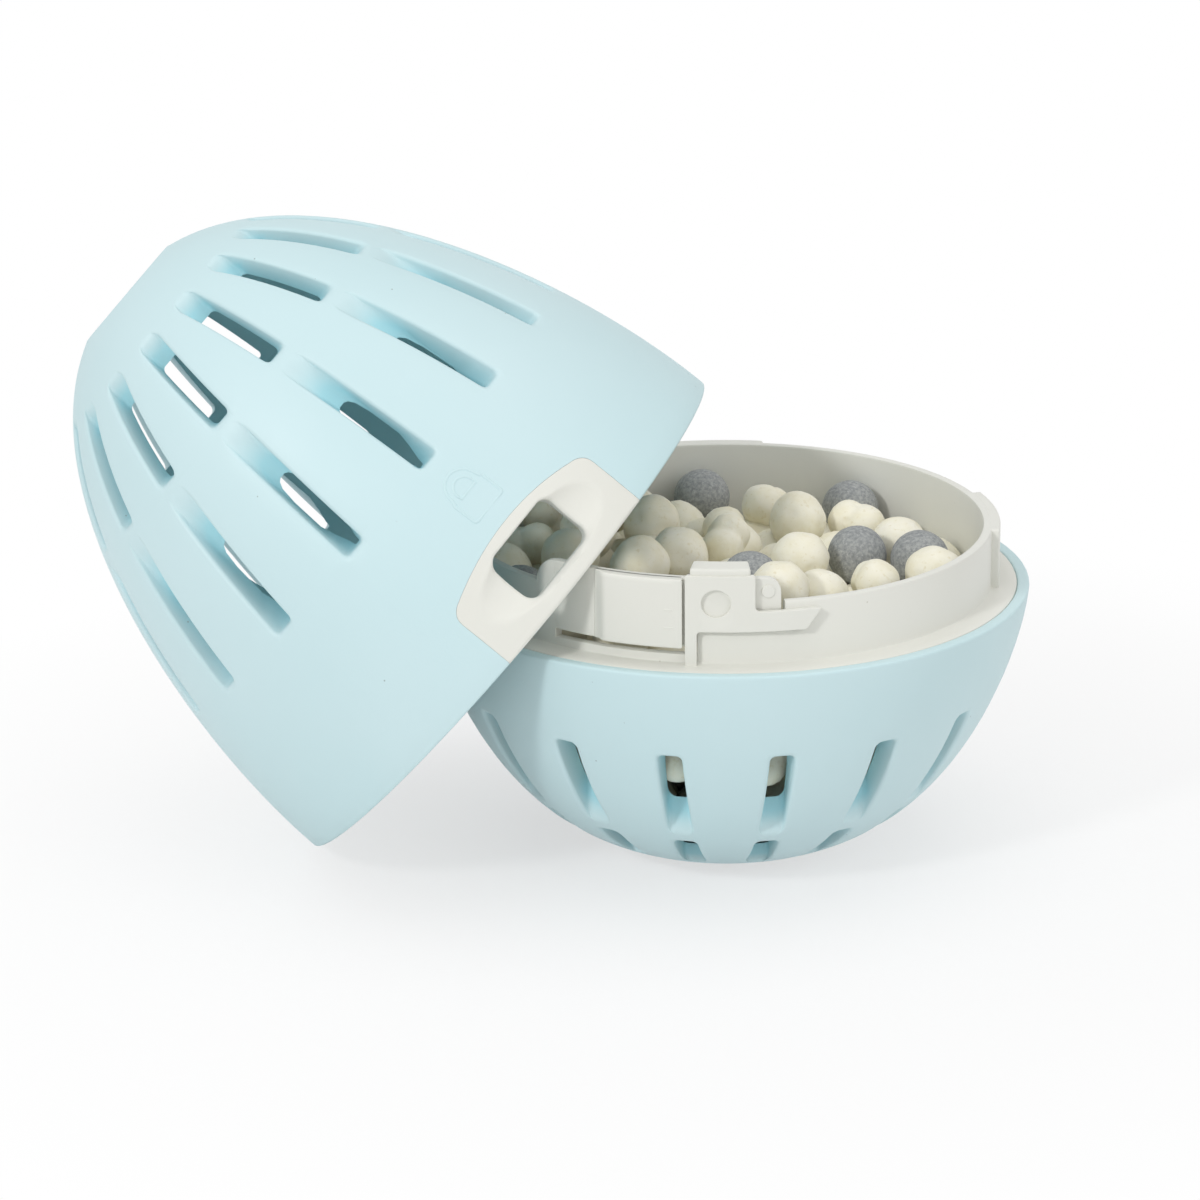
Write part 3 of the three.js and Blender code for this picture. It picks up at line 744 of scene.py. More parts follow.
def rounded(points, radius, steps=4):
    """An outline whose corners are rounded by a radius, or by one radius each."""
    radii = radius if isinstance(radius, list) else [radius] * len(points)
    result = []
    for i, (x, y) in enumerate(points):
        corner = Vector((x, y))
        before = Vector(points[i - 1]) - corner
        after = Vector(points[(i + 1) % len(points)]) - corner
        reach = min(radii[i], 0.49 * before.length, 0.49 * after.length)
        start = corner + before.normalized() * reach
        end = corner + after.normalized() * reach
        for k in range(steps + 1):
            t = k / steps
            point = start * (1 - t) ** 2 + corner * 2 * t * (1 - t) + end * t**2
            result.append((point.x, point.y))
    return result


def circle(x, y, radius, count=32):
    angles = [2 * pi * k / count for k in range(count)]
    return [(x + radius * cos(a), y + radius * sin(a)) for a in angles]


def on_collar(inner, turn=0.0):
    """Bends a plate drawn in arc length and height above the shelf onto the collar."""

    def place(x, y, depth):
        radius = inner + depth
        angle = x / COLLAR_RADIUS + radians(turn)
        return Vector((radius * sin(angle), -radius * cos(angle), BOWL_HEIGHT + y))

    return place


def arc(azimuth):
    return COLLAR_RADIUS * radians(azimuth)


LEG_RIGHT = arc(KEEPER_START) + LEG_WIDTH


# Collar ring
def collar_columns():
    """Azimuths round the wall with its height there: guard, sill, behind the keeper, plain."""
    degree = COLLAR_RADIUS * pi / 180
    leg = LEG_RIGHT / degree
    tip = LATCH_TIP + TIP_GAP / degree
    columns = [(GUARD_START - GUARD_SEAM, COLLAR_RISE), (GUARD_START, COLLAR_RISE + GUARD_FOOT)]
    for k in range(CORNER_STEPS + 1):
        angle = radians(90 * k / CORNER_STEPS)
        across = LATCH_ROUND * (1 - cos(angle))
        height = LATCH_TOP - LATCH_ROUND * (1 - sin(angle))
        columns.append((GUARD_START + across / degree, height))
    stretches = [
        (GUARD_START + LATCH_ROUND / degree, GUARD_FREE, 3, LATCH_TOP),
        (GUARD_FREE, leg, 22, SILL),
        (leg, tip, 12, TAIL_BOTTOM - FIT),
        (tip, GUARD_START + 360 - WALL_SEAM, 150, COLLAR_RISE),
    ]
    for start, end, count, height in stretches:
        columns += [(azimuth, height) for azimuth in [start] + spread_out(start, end, count)]
    return columns


def collar_sweep():
    """Skirt, shelf and wall, swept round with the wall's height changing at the latch."""
    soft = SOFT_EDGE
    bm = bmesh.new()
    rings = []
    for azimuth, height in collar_columns():
        profile = [
            (COLLAR_INNER, CHAMFER - SKIRT_DROP), (COLLAR_INNER + CHAMFER, -SKIRT_DROP),
            (COLLAR_RADIUS - CHAMFER, -SKIRT_DROP), (COLLAR_RADIUS, CHAMFER - SKIRT_DROP),
            (COLLAR_RADIUS, -SHELF_THICKNESS), (SHELF_RADIUS - SHELF_CHAMFER, -SHELF_THICKNESS),
            (SHELF_RADIUS, SHELF_CHAMFER - SHELF_THICKNESS), (SHELF_RADIUS, -CHAMFER),
            (SHELF_RADIUS - EASE * CHAMFER, -EASE * CHAMFER), (SHELF_RADIUS - CHAMFER, 0.0),
            ((SHELF_RADIUS + COLLAR_RADIUS) / 2, 0.0),
            *[(COLLAR_RADIUS + out, up) for out, up in FILLET],
            (COLLAR_RADIUS, height - soft), (COLLAR_RADIUS - EASE * soft, height - EASE * soft),
            (COLLAR_RADIUS - soft, height), (COLLAR_INNER + soft, height),
            (COLLAR_INNER + EASE * soft, height - EASE * soft), (COLLAR_INNER, height - soft),
            (COLLAR_INNER, WALL_ROW),
        ]
        rings.append(turned(bm, profile, azimuth, BOWL_HEIGHT))
    skin(bm, rings)
    return bm


def guard():
    """The free end of the guard, which the gap under the tongue runs on below."""
    left, right = arc(GUARD_FREE) - GUARD_LAP, arc(LATCH_ROOT) - GUARD_GAP
    points = rectangle(left, LATCH_BOTTOM, right, LATCH_TOP - INSET)
    plate = outline_mesh([points], COLLAR_WALL - 2 * INSET, bevel=0.15, spacing=1.0)
    return bend(plate, on_collar(COLLAR_INNER + INSET))


def bracket_points(top):
    left, right = arc(KEEPER_START), arc(ARM_END)
    return [
        (left, -LEG_SUNK), (left + LEG_WIDTH, -LEG_SUNK), (left + LEG_WIDTH, ARM_UNDERSIDE),
        (right - ARM_SLANT, ARM_UNDERSIDE), (right, top), (left, top),
    ]


def plain_brackets():
    parts = []
    outline = rounded(bracket_points(COLLAR_RISE - 2 * INSET), BRACKET_CORNERS)
    thickness = BRACKET_RADIUS - COLLAR_RADIUS + BRACKET_ROOT
    for turn in (90, 180, 270):
        plate = outline_mesh([outline], thickness, bevel=0.22, spacing=1.2)
        parts.append(bend(plate, on_collar(COLLAR_RADIUS - BRACKET_ROOT, turn)))
    return parts


def keeper():
    """The bridge over the tongue: a block with a leg, an arm, a round recess and a cap."""
    left, right = arc(KEEPER_START), arc(KEEPER_END)
    brow = LATCH_TOP + KEEPER_BROW
    points = bracket_points(ARM_TOP)[:5] + [(right, ARM_TOP), (right, brow), (left, brow)]
    outline = rounded(points, KEEPER_CORNERS)
    middle = arc(DIMPLE_AZIMUTH)
    back = COLLAR_RADIUS + FIT
    front = BRACKET_RADIUS - back
    hole = circle(middle, DIMPLE_HEIGHT, DIMPLE_RADIUS)
    block = outline_mesh([outline, hole], front, bevel=0.1, spacing=0.45)

    def scooped(x, y, depth):
        below = hypot(x - middle, y - DIMPLE_HEIGHT + HOLLOW_DROP) / HOLLOW_RADIUS
        hollow = HOLLOW_DEPTH * max(1.0 - below * below, 0.0)
        return on_collar(back)(x, y, depth * (1.0 - hollow / front))

    bend(block, scooped)
    dish_outline = circle(0.0, 0.0, DIMPLE_RADIUS + DIMPLE_LAP)
    dish = outline_mesh([dish_outline], thickness=0.15, bevel=0.02, spacing=0.35)

    def hollowed(x, y, depth):
        share = (x * x + y * y) / DIMPLE_RADIUS**2
        return on_collar(back)(x + middle, y + DIMPLE_HEIGHT, depth + DIMPLE_RISE * share)

    bend(dish, hollowed)
    cap_left, cap_right = arc(KEEPER_START + CAP_INSET), arc(KEEPER_END - CAP_INSET)
    cap_outline = rounded(rectangle(cap_left, 0.0, cap_right, CAP_DEPTH), radius=0.5)
    cap = outline_mesh([cap_outline], thickness=1.4, bevel=0.35, spacing=1.0)
    cap_place = on_collar(BRACKET_RADIUS - FIT - CAP_DEPTH)
    bend(cap, lambda x, y, depth: cap_place(x, LATCH_TOP + FIT + depth, y))

    low, low_end = ARM_UNDERSIDE + TIE_FOOT, arc(ARM_END) - ARM_SLANT - TIE_GAP
    ties = [
        (LEG_RIGHT - TIE_ROOT, TAIL_BOTTOM - FIT - TIE_UNDER),
        (arc(LATCH_TIP) + TIP_GAP + TIE_GAP, ARM_TOP - TIE_BELOW),
    ]
    parts = [block, dish, cap]
    for start, top in ties:
        high_end = low_end + ARM_SLANT * (top - ARM_UNDERSIDE) / (ARM_TOP - ARM_UNDERSIDE)
        tie_points = [(start, low), (low_end, low), (high_end, top), (start, top)]
        tie = outline_mesh([tie_points], thickness=0.9, bevel=0.03, spacing=1.2)
        parts.append(bend(tie, on_collar(COLLAR_RADIUS - TIE_ROOT)))
    return parts


# Latch tongue
def tongue():
    left, right = arc(LATCH_ROOT) + STRAP_GAP, arc(LATCH_TIP)
    narrow = LEG_RIGHT - FIT - TIP_GAP
    strap_points = [
        (left, LATCH_BOTTOM), (narrow, LATCH_BOTTOM), (narrow, TAIL_BOTTOM),
        (right, TAIL_BOTTOM), (right, LATCH_TOP), (left, LATCH_TOP),
    ]
    outline = rounded(strap_points, STRAP_CORNERS, CORNER_STEPS)
    strap = outline_mesh([outline], STRAP_THICKNESS, bevel=0.1, spacing=1.0)
    bend(strap, on_collar(COLLAR_RADIUS - STRAP_THICKNESS))

    start, flat, end = arc(LATCH_ROOT), arc(PLATE_START), arc(PLATE_END)
    outline = rounded(rectangle(start, LATCH_BOTTOM, end, LATCH_TOP), PLATE_CORNERS)
    plate = outline_mesh([outline], PLATE_THICKNESS, bevel=0.03, spacing=0.4)
    base = on_collar(BRACKET_RADIUS - PLATE_THICKNESS)

    def ramp(x, y, depth):
        rise = step(x, start, flat)
        edge = min(end - x, LATCH_TOP - y, y - LATCH_BOTTOM)
        full = ROOT_SHARE + (1 - ROOT_SHARE) * rise
        return base(x, y, depth * (full - rise * round_over(edge, PLATE_ROUND) / PLATE_THICKNESS))

    bend(plate, ramp)
    mark = outline_mesh([circle(0.0, 0.0, MARK_RADIUS)], thickness=0.4, bevel=0.1, spacing=0.5)
    mark_place = on_collar(COLLAR_RADIUS - MARK_SUNK)
    bend(mark, lambda x, y, depth: mark_place(x + arc(MARK_AZIMUTH), y + MARK_HEIGHT, depth))
    parts = [strap, plate, mark]
    for low in BAR_LEVELS:
        points = rectangle(end - 2 * BAR_LENGTH, low, end - BAR_LENGTH, low + BAR_WIDTH)
        bar = outline_mesh([points], BAR_WIDTH, bevel=0.06, spacing=0.6)
        parts.append(bend(bar, on_collar(BRACKET_RADIUS - BAR_SUNK)))
    return join(*parts)


# Lid ring
def ring_outer(h):
    return lid_outer(h) - RIM_WALL - FIT


def lid_band():
    """The thin ring in the lid's mouth, from one side of the frame round to the other."""
    span = RING_TOP - RING_BOTTOM
    bottom, top = ring_outer(RING_BOTTOM), ring_outer(RING_TOP)
    heights = [RING_BOTTOM + span * k / RING_ROWS for k in range(1, RING_ROWS)]
    heights = [RING_BOTTOM + RING_SOFT] + heights + [RING_TOP - RING_SOFT]
    profile = [(bottom - RING_SOFT, RING_BOTTOM)]
    profile += [(ring_outer(h), h) for h in heights]
    profile += [(top - RING_SOFT, RING_TOP), (top - RING_WALL + RING_SOFT, RING_TOP)]
    profile += [(ring_outer(h) - RING_WALL, h) for h in heights[::-1]]
    profile += [(bottom - RING_WALL + RING_SOFT, RING_BOTTOM)]
    bm = bmesh.new()
    azimuths = [BAND_START] + spread_out(BAND_START, 360 - BAND_START, RING_COLUMNS)
    rings = [turned(bm, profile, azimuth) for azimuth in azimuths]
    skin(bm, rings, closed=False)
    bm.faces.new(rings[0][::-1])
    bm.faces.new(rings[-1])
    return bm


def frame_points(grow):
    half = FRAME_WIDTH / 2 + grow
    side = FRAME_SIDE + grow
    crown = FRAME_CROWN + grow
    points = [(-half, 0.0), (half, 0.0), (half, side - FRAME_ROUND)]
    corner = [(half, side - FRAME_ROUND), (half, side), (half - FRAME_ROUND, side + FRAME_ROUND / 2)]
    top = [corner[2], (0.0, 2 * crown - side), (-half + FRAME_ROUND, side + FRAME_ROUND / 2)]
    for control, steps in ((corner, 6), (top, 24), ([(-x, y) for x, y in corner[::-1]], 6)):
        (x0, y0), (x1, y1), (x2, y2) = control
        for k in range(1, steps + 1):
            t = k / steps
            a, b, c = (1 - t) ** 2, 2 * t * (1 - t), t * t
            points.append((a * x0 + b * x1 + c * x2, a * y0 + b * y1 + c * y2))
    return points


def dish_surface(x, u):
    """How far out the frame's front lies at x and u, with the finger dish hollowed out of it."""
    front = sqrt(lid_outer(u) ** 2 - x * x)
    wide, deep, high = DISH_HALF
    inside = 1 - (x / wide) ** 2 - ((u - WINDOW_MIDDLE) / high) ** 2
    centre = lid_outer(WINDOW_MIDDLE) + deep - DISH_DEPTH
    hollow = centre - (deep * sqrt(inside) if inside > 0 else DISH_RISE * inside)
    mix = clamp(0.5 + 0.5 * (hollow - front) / DISH_SOFT)
    return hollow * (1 - mix) + front * mix - DISH_SOFT * mix * (1 - mix) / 2


def window_distance(x, u):
    """Distance from the window's edge, outwards."""
    aside = abs(x) - WINDOW_WIDTH / 2 + WINDOW_ROUND
    above = abs(u - WINDOW_MIDDLE) - (WINDOW_TOP - WINDOW_BOTTOM) / 2 + WINDOW_ROUND
    return hypot(max(aside, 0.0), max(above, 0.0)) + min(max(aside, above), 0.0) - WINDOW_ROUND


def window_outline():
    half = WINDOW_WIDTH / 2 - WINDOW_ROUND
    low, high = WINDOW_BOTTOM + WINDOW_ROUND, WINDOW_TOP - WINDOW_ROUND
    points = []
    for start, (x, u) in enumerate([(half, high), (-half, high), (-half, low), (half, low)]):
        for k in range(CORNER_STEPS + 1):
            angle = radians(90 * start + 90 * k / CORNER_STEPS)
            points.append((x + WINDOW_ROUND * cos(angle), u + WINDOW_ROUND * sin(angle)))
    return points


def window_frame():
    thickness = RIM_WALL + FIT + RING_WALL
    outlines = [frame_points(0.0), window_outline()]
    plate = outline_mesh(outlines, thickness, bevel=0.04, spacing=0.36)

    def place(x, u, depth):
        rim = round_over(u, SOFT_EDGE)
        front = dish_surface(x, u) - rim - round_over(window_distance(x, u), WINDOW_EDGE)
        back = sqrt((lid_outer(u) - thickness) ** 2 - x * x)
        if u < RING_BOTTOM:
            back += (thickness - RIM_WALL) * (1 - u / RING_BOTTOM) + rim
        share = depth / thickness
        return Vector((x, -(back + (front - back) * share), u))

    return bend(plate, place)


def lugs():
    parts = []
    middle = (KEEPER_START + ARM_END) / 2 - (PLATE_START + PLATE_END) / 2
    half = arc(LUG_SPAN) / 2
    inner = COLLAR_RADIUS + FIT
    thickness = ring_outer(RING_BOTTOM) - RING_WALL / 2 - inner
    outline = rounded(rectangle(-half, RING_BOTTOM, half, LUG_TOP), radius=0.5)
    for k in range(LUG_COUNT):
        plate = outline_mesh([outline], thickness, bevel=0.2, spacing=1.2)
        place = on_collar(inner, middle + 360 / LUG_COUNT * k)
        bend(plate, lambda x, y, depth: place(x, y, depth) - Vector((0.0, 0.0, BOWL_HEIGHT)))
        parts.append(plate)
    return parts


# Padlock sign: a thin raised outline above the window
def raised_line(points):
    """A closed thin line standing a little proud of the dome."""
    bm = bmesh.new()
    rings = []
    for i, (x, u) in enumerate(points):
        before = points[i - 1]
        after = points[(i + 1) % len(points)]
        along = Vector((after[0] - before[0], after[1] - before[1])).normalized()
        ring = []
        for k in range(LINE_STEPS + 1):
            angle = pi * k / LINE_STEPS
            offset = LINE_HALF * cos(angle)
            px, pu = x - along.y * offset, u + along.x * offset
            radius = lid_outer(pu) + LINE_RISE * sin(angle) - LINE_SUNK
            ring.append(bm.verts.new((px, -sqrt(radius**2 - px * px), pu)))
        rings.append(ring)
    skin(bm, rings)
    return bm


def half_circle(radius, height):
    angles = [pi * k / SHACKLE_STEPS for k in range(SHACKLE_STEPS + 1)]
    return [(radius * cos(a), height + radius * sin(a)) for a in angles]


def padlock():
    left, right, inner = -SIGN_HALF, SIGN_HALF, SHACKLE_INNER[0]
    body = [(left, SIGN_TOP), (left, SIGN_BOTTOM), (right, SIGN_BOTTOM), (right, SIGN_TOP)]
    whole = rounded(body, SIGN_CORNERS) + half_circle(*SHACKLE_OUTER)
    shackle = half_circle(*SHACKLE_INNER) + [(-inner, SHACKLE_FOOT), (inner, SHACKLE_FOOT)]
    return join(raised_line(whole), raised_line(shackle))


# Pellets
def direction(dice):
    """A random direction."""
    height = dice.uniform(-1.0, 1.0)
    turn = dice.uniform(0.0, 2 * pi)
    flat = sqrt(1.0 - height * height)
    return Vector((flat * cos(turn), flat * sin(turn), height))


def pellet_mesh(seed, centre, detail, is_grey):
    """A mineral pellet about a centre: a ball, or two grown together, with flats and pits."""
    dice = random.Random(seed)
    lobes = [(Vector(), BALL_SIZE)]
    flats, pits = [], []
    if not is_grey:
        if seed % TWIN_EVERY == 1:
            along = direction(dice) * dice.uniform(*TWIN_APART)
            one, other = TWIN_SIZES
            lobes = [(along, dice.uniform(*one)), (-along, dice.uniform(*other))]
        for _ in range(dice.randint(*FLAT_COUNT)):
            flats.append((direction(dice), dice.uniform(*FLAT_LEVEL)))
        for _ in range(PIT_COUNT):
            pits.append((direction(dice), dice.uniform(*PIT_WIDTH), dice.uniform(*PIT_DEPTH)))
    offset = Vector([dice.uniform(*NOISE_FAR) for _ in range(3)])
    swell = SWELL_GREY if is_grey else SWELL
    bm = bmesh.new()
    bmesh.ops.create_icosphere(bm, subdivisions=detail, radius=1.0)
    for v in bm.verts:
        n = v.co.normalized()
        reach = 0.0
        for lobe, size in lobes:
            along = n.dot(lobe)
            inside = size * size - lobe.length_squared + along * along
            reach = max(reach, along + sqrt(max(inside, 0.0)))
        for face, level in flats:
            facing = n.dot(face)
            if facing > FLAT_FACING:
                over = reach - level / facing
                reach -= FLAT_SHARE * max(over, 0.0)
        for spot, wide, deep in pits:
            reach -= deep * (1.0 - step(n.angle(spot), 0.0, wide))
        lumps = noise.noise(n * SWELL_SCALE + offset) * swell
        reach += lumps + noise.noise(n * GRAIN_SCALE + offset) * GRAIN
        v.co = n * PELLET_RADIUS * reach
    bmesh.ops.translate(bm, verts=bm.verts, vec=centre)
    return bm


# Materials, kept by name
LOOKS = {}


def material(name, roughness):
    mat = LOOKS[name] = bpy.data.materials.new(name)
    mat.use_nodes = True
    tree = mat.node_tree
    shader = tree.nodes["Principled BSDF"]
    shader.inputs["Roughness"].default_value = roughness
    return tree, shader


def srgb(r, g, b):
    def channel(c):
        c /= 255
        return c / 12.92 if c <= 0.04045 else ((c + 0.055) / 1.055) ** 2.4

    return (channel(r), channel(g), channel(b), 1.0)


def add_node(tree, kind, values, links):
    """A shader node with some inputs set to values and some linked to outputs."""
    node = tree.nodes.new("ShaderNode" + kind)
    for name, value in values.items():
        node.inputs[name].default_value = value
    for name, output in links.items():
        tree.links.new(output, node.inputs[name])
    return node


def object_place(tree):
    return add_node(tree, "TexCoord", {}, {}).outputs["Object"]


def noise_node(tree, scale, detail, roughness=0.5):
    values = {"Scale": scale, "Detail": detail, "Roughness": roughness}
    return add_node(tree, "TexNoise", values, {"Vector": object_place(tree)}).outputs["Fac"]


def ramp_node(tree, source, stops):
    node = add_node(tree, "ValToRGB", {}, {"Fac": source})
    while len(node.color_ramp.elements) < len(stops):
        node.color_ramp.elements.new(0.5)
    for element, (place, colour) in zip(node.color_ramp.elements, stops):
        element.position = place
        element.color = srgb(*colour)
    return node.outputs["Color"]


def grain(tree, shader, layers):
    """Bump from layers of noise, one upon another: scale, detail, roughness, strength, distance."""
    normal = None
    for scale, detail, roughness, strength, distance in layers:
        links = {"Height": noise_node(tree, scale, detail, roughness)}
        if normal:
            links["Normal"] = normal
        values = {"Strength": strength, "Distance": distance}
        normal = add_node(tree, "Bump", values, links).outputs["Normal"]
    tree.links.new(normal, shader.inputs["Normal"])


def link_mix(tree, factor, base, other):
    """Mixes another colour over a base where a factor says."""
    mix = tree.nodes.new("ShaderNodeMix")
    mix.data_type = "RGBA"
    mix.inputs["B"].default_value = srgb(*other)
    tree.links.new(factor, mix.inputs["Factor"])
    tree.links.new(base, mix.inputs["A"])
    return mix.outputs["Result"]


def map_node(tree, value, source, target):
    """Maps a value from a source range to a target range."""
    values = dict(zip(("From Min", "From Max", "To Min", "To Max"), (*source, *target)))
    return add_node(tree, "MapRange", values, {"Value": value}).outputs["Result"]


def math_node(tree, operation, first, second):
    node = add_node(tree, "Math", {}, {0: first, 1: second})
    node.operation = operation
    return node.outputs["Value"]


def speck_mask(tree, scale, size, share):
    """Small round specks in some of the cells of a pattern."""
    cells = add_node(tree, "TexVoronoi", {"Scale": scale}, {"Vector": object_place(tree)})
    dot = map_node(tree, cells.outputs["Distance"], (size * 0.6, size), (1.0, 0.0))
    least = 1.0 - share
    chosen = map_node(tree, cells.outputs["Color"], (least, least + 0.01), (0.0, 1.0))
    return math_node(tree, "MULTIPLY", dot, chosen)


def plastic(name, light, dark, inner, speck, roughness):
    """Satin moulded plastic: colour that drifts, painted shade that deepens it in recesses and on the
    inside, fine grain, a few specks.
    """
    tree, shader = material(name, roughness)
    drift = noise_node(tree, scale=22.0, detail=3.0)
    colour = ramp_node(tree, drift, [(0.35, dark), (0.65, light)])
    # Painted shade: the inner colour is mixed in by the depth attribute, standing in for the deeper
    # teal that shade and light through the plastic give the inside and the slot walls
    depth = tree.nodes.new("ShaderNodeAttribute")
    depth.attribute_name = "depth"
    shaded = link_mix(tree, depth.outputs["Fac"], colour, inner)
    specks = speck_mask(tree, scale=420.0, size=0.07, share=0.2)
    spotted = link_mix(tree, specks, shaded, speck)
    tree.links.new(spotted, shader.inputs["Base Color"])
    grain(tree, shader, [(2600.0, 4.0, 0.6, 0.1, 0.0001), (60.0, 2.0, 0.5, 0.08, 0.0004)])
    polish = noise_node(tree, scale=130.0, detail=3.0)
    satin = (roughness - 0.05, roughness + 0.06)
    shine = map_node(tree, polish, (0.0, 1.0), satin)
    tree.links.new(shine, shader.inputs["Roughness"])


def mineral(name, stops, cloud_scale, speck, fleck_scale, roughness, bump):
    """Waxy or powdery mineral: clouded colour, small flecks and a fine rough surface."""
    tree, shader = material(name, roughness)
    shader.inputs["Specular IOR Level"].default_value = 0.3
    cloud = noise_node(tree, cloud_scale, detail=5.0, roughness=0.6)
    colour = ramp_node(tree, cloud, stops)
    fleck = noise_node(tree, fleck_scale, detail=2.0)
    mask = map_node(tree, fleck, (0.6, 0.75), (0.0, 1.0))
    flecked = link_mix(tree, mask, colour, speck)
    tree.links.new(flecked, shader.inputs["Base Color"])
    grain(tree, shader, [(1500.0, 5.0, 0.65, bump, 0.00025), (420.0, 3.0, 0.5, bump, 0.0005)])


# The inner colours are painted shade, mixed in by the depth attribute on the shells
plastic(
    "shell_blue",
    light=(203, 227, 231), dark=(199, 225, 229), inner=(171, 219, 228),
    speck=(160, 180, 182), roughness=0.5,
)
plastic(
    "fitting_white",
    light=(228, 228, 221), dark=(225, 225, 217), inner=(225, 225, 217),
    speck=(203, 201, 190), roughness=0.45,
)
mineral(
    "mineral_cream",
    [(0.3, (236, 230, 204)), (0.5, (242, 238, 219)), (0.7, (245, 242, 228))],
    cloud_scale=240.0, speck=(232, 225, 199), fleck_scale=1300.0, roughness=0.62, bump=0.14,
)
mineral(
    "mineral_grey",
    [(0.36, (138, 141, 142)), (0.5, (154, 157, 157)), (0.64, (172, 174, 173))],
    cloud_scale=1900.0, speck=(184, 186, 186), fleck_scale=2400.0, roughness=0.85, bump=0.2,
)

# Shells in place
bowl_rows = shell_rows(bowl_outer, bowl_seat, BOWL_SLOTS, BOWL_DRAFT, SHELF_THICKNESS + FIT, BOWL_LAST)
bowl_bm = shell_bmesh(bowl_rows, bowl_cap(), *BOWL_EVEN)
upside_down = Matrix.Translation((0.0, 0.0, BOWL_HEIGHT)) @ Matrix.Scale(-1.0, 4, (0.0, 0.0, 1.0))
bowl_matrix = upside_down @ rotation(180 / SLOT_COUNT, "Z")
bowl = new_object("bowl", bowl_bm, "base", "shell_blue", bowl_matrix)
# Depth in the wall, the mask of the blue plastic's painted shade
mark_shade_depth(bowl.data, bowl_matrix, bowl_outer, BOWL_HEIGHT)
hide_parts("lower_shell")

lid_rows = shell_rows(lid_outer, lid_seat, LID_SLOTS, LID_DRAFT, RING_TOP + FIT, LID_LAST)
lid_bm = shell_bmesh(lid_rows, lid_cap(), *LID_EVEN)
lid = new_object("dome", lid_bm, "lid", "shell_blue", lid_matrix)
notch_outline = [(x, u - NOTCH_BELOW * (u == 0.0)) for x, u in frame_points(NOTCH_GAP)]
notch = outline_mesh([notch_outline], thickness=12.0, bevel=0.02, spacing=3.0)
bend(notch, lambda x, u, depth: Vector((x, -(NOTCH_BACK + depth), u)))
cutter = add_object("notch", mesh_from("notch", notch, lid_matrix))
cut = lid.modifiers.new("notch", "BOOLEAN")
cut.object = cutter
cut.solver = "EXACT"
bpy.context.view_layer.update()
carved = bpy.data.meshes.new_from_object(lid.evaluated_get(bpy.context.evaluated_depsgraph_get()))
lid.modifiers.clear()
lid.data = carved
smooth(carved, SMOOTH_ANGLE)
bpy.data.objects.remove(cutter)
# Depth in the wall, the mask of the blue plastic's painted shade
mark_shade_depth(carved, lid_matrix, lid_outer, LID_HEIGHT)
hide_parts("upper_shell")
new_object("padlock_sign", padlock(), "lid", "shell_blue", lid_matrix)

# Fittings in place
collar_bm = join(collar_sweep(), guard(), *plain_brackets(), *keeper())
collar = new_object("collar", collar_bm, "base", "fitting_white")
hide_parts("collar_ring")
latch = new_object("latch", tongue(), "latch", "fitting_white")
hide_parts("latch_tongue")
ring_bm = join(lid_band(), window_frame(), *lugs())
ring = new_object("window_ring", ring_bm, "lid", "fitting_white", lid_matrix)
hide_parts("lid_ring")

# Pellets in place
stones = sorted(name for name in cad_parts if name.startswith(("pellet_", "mineral_")))
stones.remove("pellet_bed")
taken = []
for index, name in enumerate(stones):
    low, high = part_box(name)
    centre = (low + high) / 2 / MM
    taken.append(centre)
    is_grey = name.startswith("mineral")
    stone_bm = pellet_mesh(index, centre, LOOSE_DETAIL, is_grey)
    slot = "mineral_grey" if is_grey else "mineral_cream"
    stone = new_object("stone_" + name, stone_bm, "base", slot, smooth_angle=ALL_SMOOTH)
    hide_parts(name)


def bed_height(radius):
    return BED_EDGE + BED_RISE * (1 - (radius / COLLAR_INNER) ** 2)


def bed_centres():
    """Pellets under the loose ones: half-sunken, at the slots, fillers, along the wall."""
    centres = [Vector((x, y, bed_height(hypot(x, y)) + SUNKEN_RISE)) for x, y in SUNKEN_SPOTS]
    spots = []
    reach = range(-FILLER_REACH, FILLER_REACH + 1)
    for sunk, shift in FILLER_LAYERS:
        for row in reach:
            for column in reach:
                x = FILLER_PITCH * (column + 0.5 * (row % 2) + shift)
                y = FILLER_PITCH * FILLER_ROW * row
                radius = hypot(x, y)
                if radius < COLLAR_INNER - PELLET_RADIUS - FILLER_GAP:
                    spots.append(Vector((x, y, bed_height(radius) - sunk)))
    for z, r in SLOT_LEVELS:
        for k in range(SLOT_COUNT):
            angle = 2 * pi * (k + 0.5) / SLOT_COUNT
            spots.insert(0, Vector((r * sin(angle), -r * cos(angle), z)))
    begin = 0.0
    for z, below, room in WALL_LEVELS:
        radius = min(bowl_lining(BOWL_HEIGHT - z + below), COLLAR_INNER + room) - WALL_GAP
        for r in (radius, radius - WALL_SECOND):
            count = max(int(pi * r / WALL_HALF_PITCH), 1)
            for k in range(count):
                angle = begin + 2 * pi * k / count
                spots.append(Vector((r * cos(angle), r * sin(angle), z)))
            begin += WALL_TURN
    for spot in spots:
        if all((spot - other).length > CLOSEST for other in taken + centres):
            centres.append(spot)
    return centres


bed_parts = []
for index, centre in enumerate(bed_centres()):
    bed_parts.append(pellet_mesh(BED_SEED + index, centre, BED_DETAIL, False))
bed = new_object("bed", join(*bed_parts), "base", "mineral_cream", smooth_angle=ALL_SMOOTH)
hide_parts("pellet_bed")

# Floor, light and camera, in metres
FLOOR_HALF = 4
FLOOR_DROP = 0.0002
FLOOR_PALE = ((0.03, 0.16), (0.62, 1.0))
WORLD_LEVEL = (0.53, 1.0)
LAMP_TARGET = (-0.02, 0.0, 0.04)
LAMPS = (
    ("key", (-0.71, -0.95, 0.75), 0.16, 5.6),
    ("top", (0.1, 0.0, 1.2), 0.9, 3.1),
    ("fill", (0.9, -0.7, 0.7), 0.9, 2.8),
)
CAMERA_PLACE = (0.0, -0.66377, 0.26321)
CAMERA_DOWN = 18.276


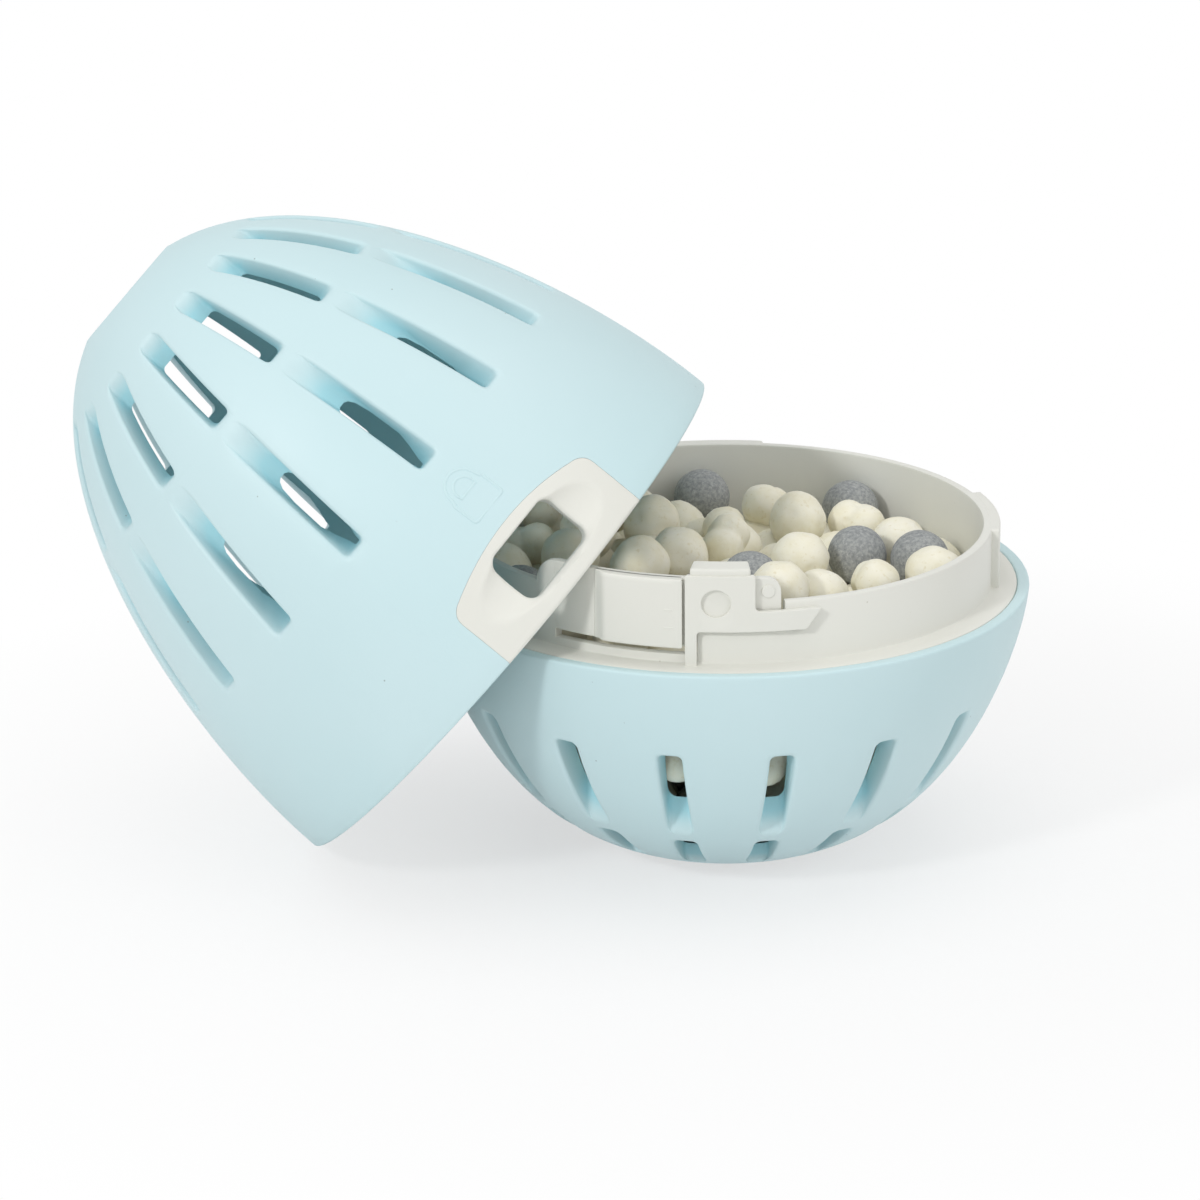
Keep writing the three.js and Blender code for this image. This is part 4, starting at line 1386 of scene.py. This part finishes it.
def seen_directly(tree):
    """1 for rays from the camera, a mirror or glass, 0 for light that falls on surfaces."""
    path = tree.nodes.new("ShaderNodeLightPath")
    total = path.outputs["Is Camera Ray"]
    for name in ("Is Glossy Ray", "Is Transmission Ray"):
        total = math_node(tree, "MAXIMUM", total, path.outputs[name])
    return total


floor_mesh = bpy.data.meshes.new("floor")
floor_corners = rectangle(-FLOOR_HALF, -FLOOR_HALF, FLOOR_HALF, FLOOR_HALF)
floor_mesh.from_pydata([(x, y, 0) for x, y in floor_corners], [], [(0, 1, 2, 3)])
floor = add_object("floor", floor_mesh)
floor.location.z = cad_box[0][2] - FLOOR_DROP
floor_tree, floor_shader = material("floor", 0.9)
floor_shader.inputs["Base Color"].default_value = (0.9, 0.9, 0.9, 1.0)
floor_mesh.materials.append(LOOKS["floor"])
floor_distance = add_node(floor_tree, "VectorMath", {}, {0: object_place(floor_tree)})
floor_distance.operation = "LENGTH"
paleness = map_node(floor_tree, floor_distance.outputs["Value"], *FLOOR_PALE)
floor_share = math_node(floor_tree, "MULTIPLY", paleness, seen_directly(floor_tree))
floor_glow = floor_tree.nodes.new("ShaderNodeEmission").outputs["Emission"]
floor_links = {"Fac": floor_share, 1: floor_shader.outputs["BSDF"], 2: floor_glow}
floor_mix = add_node(floor_tree, "MixShader", {}, floor_links)
floor_output = floor_tree.nodes["Material Output"]
floor_tree.links.new(floor_mix.outputs["Shader"], floor_output.inputs["Surface"])

world = bpy.data.worlds.new("studio")
bpy.context.scene.world = world
world.use_nodes = True
world_tree = world.node_tree
backdrop = world_tree.nodes["Background"]
backdrop.inputs["Color"].default_value = (1.0, 1.0, 1.0, 1.0)
world_level = map_node(world_tree, seen_directly(world_tree), (0.0, 1.0), WORLD_LEVEL)
world_tree.links.new(world_level, backdrop.inputs["Strength"])

for name, place, size, power in LAMPS:
    lamp_data = bpy.data.lights.new(name, "AREA")
    lamp_data.shape = "SQUARE"
    lamp_data.size = size
    lamp_data.energy = power
    lamp = add_object(name, lamp_data)
    lamp.location = place
    lamp.rotation_euler = (Vector(LAMP_TARGET) - Vector(place)).to_track_quat("-Z", "Y").to_euler()

camera_data = bpy.data.cameras.new("camera")
camera_data.lens = 133.76
camera_data.sensor_width = 36.0
camera_data.shift_x = -0.1051
camera_data.shift_y = -0.0254
camera_data.clip_start = 0.01
camera = add_object("camera", camera_data)
camera.location = CAMERA_PLACE
camera.rotation_euler = (radians(90 - CAMERA_DOWN), 0.0, 0.0)
bpy.context.scene.camera = camera
bpy.context.scene.view_settings.view_transform = "Standard"
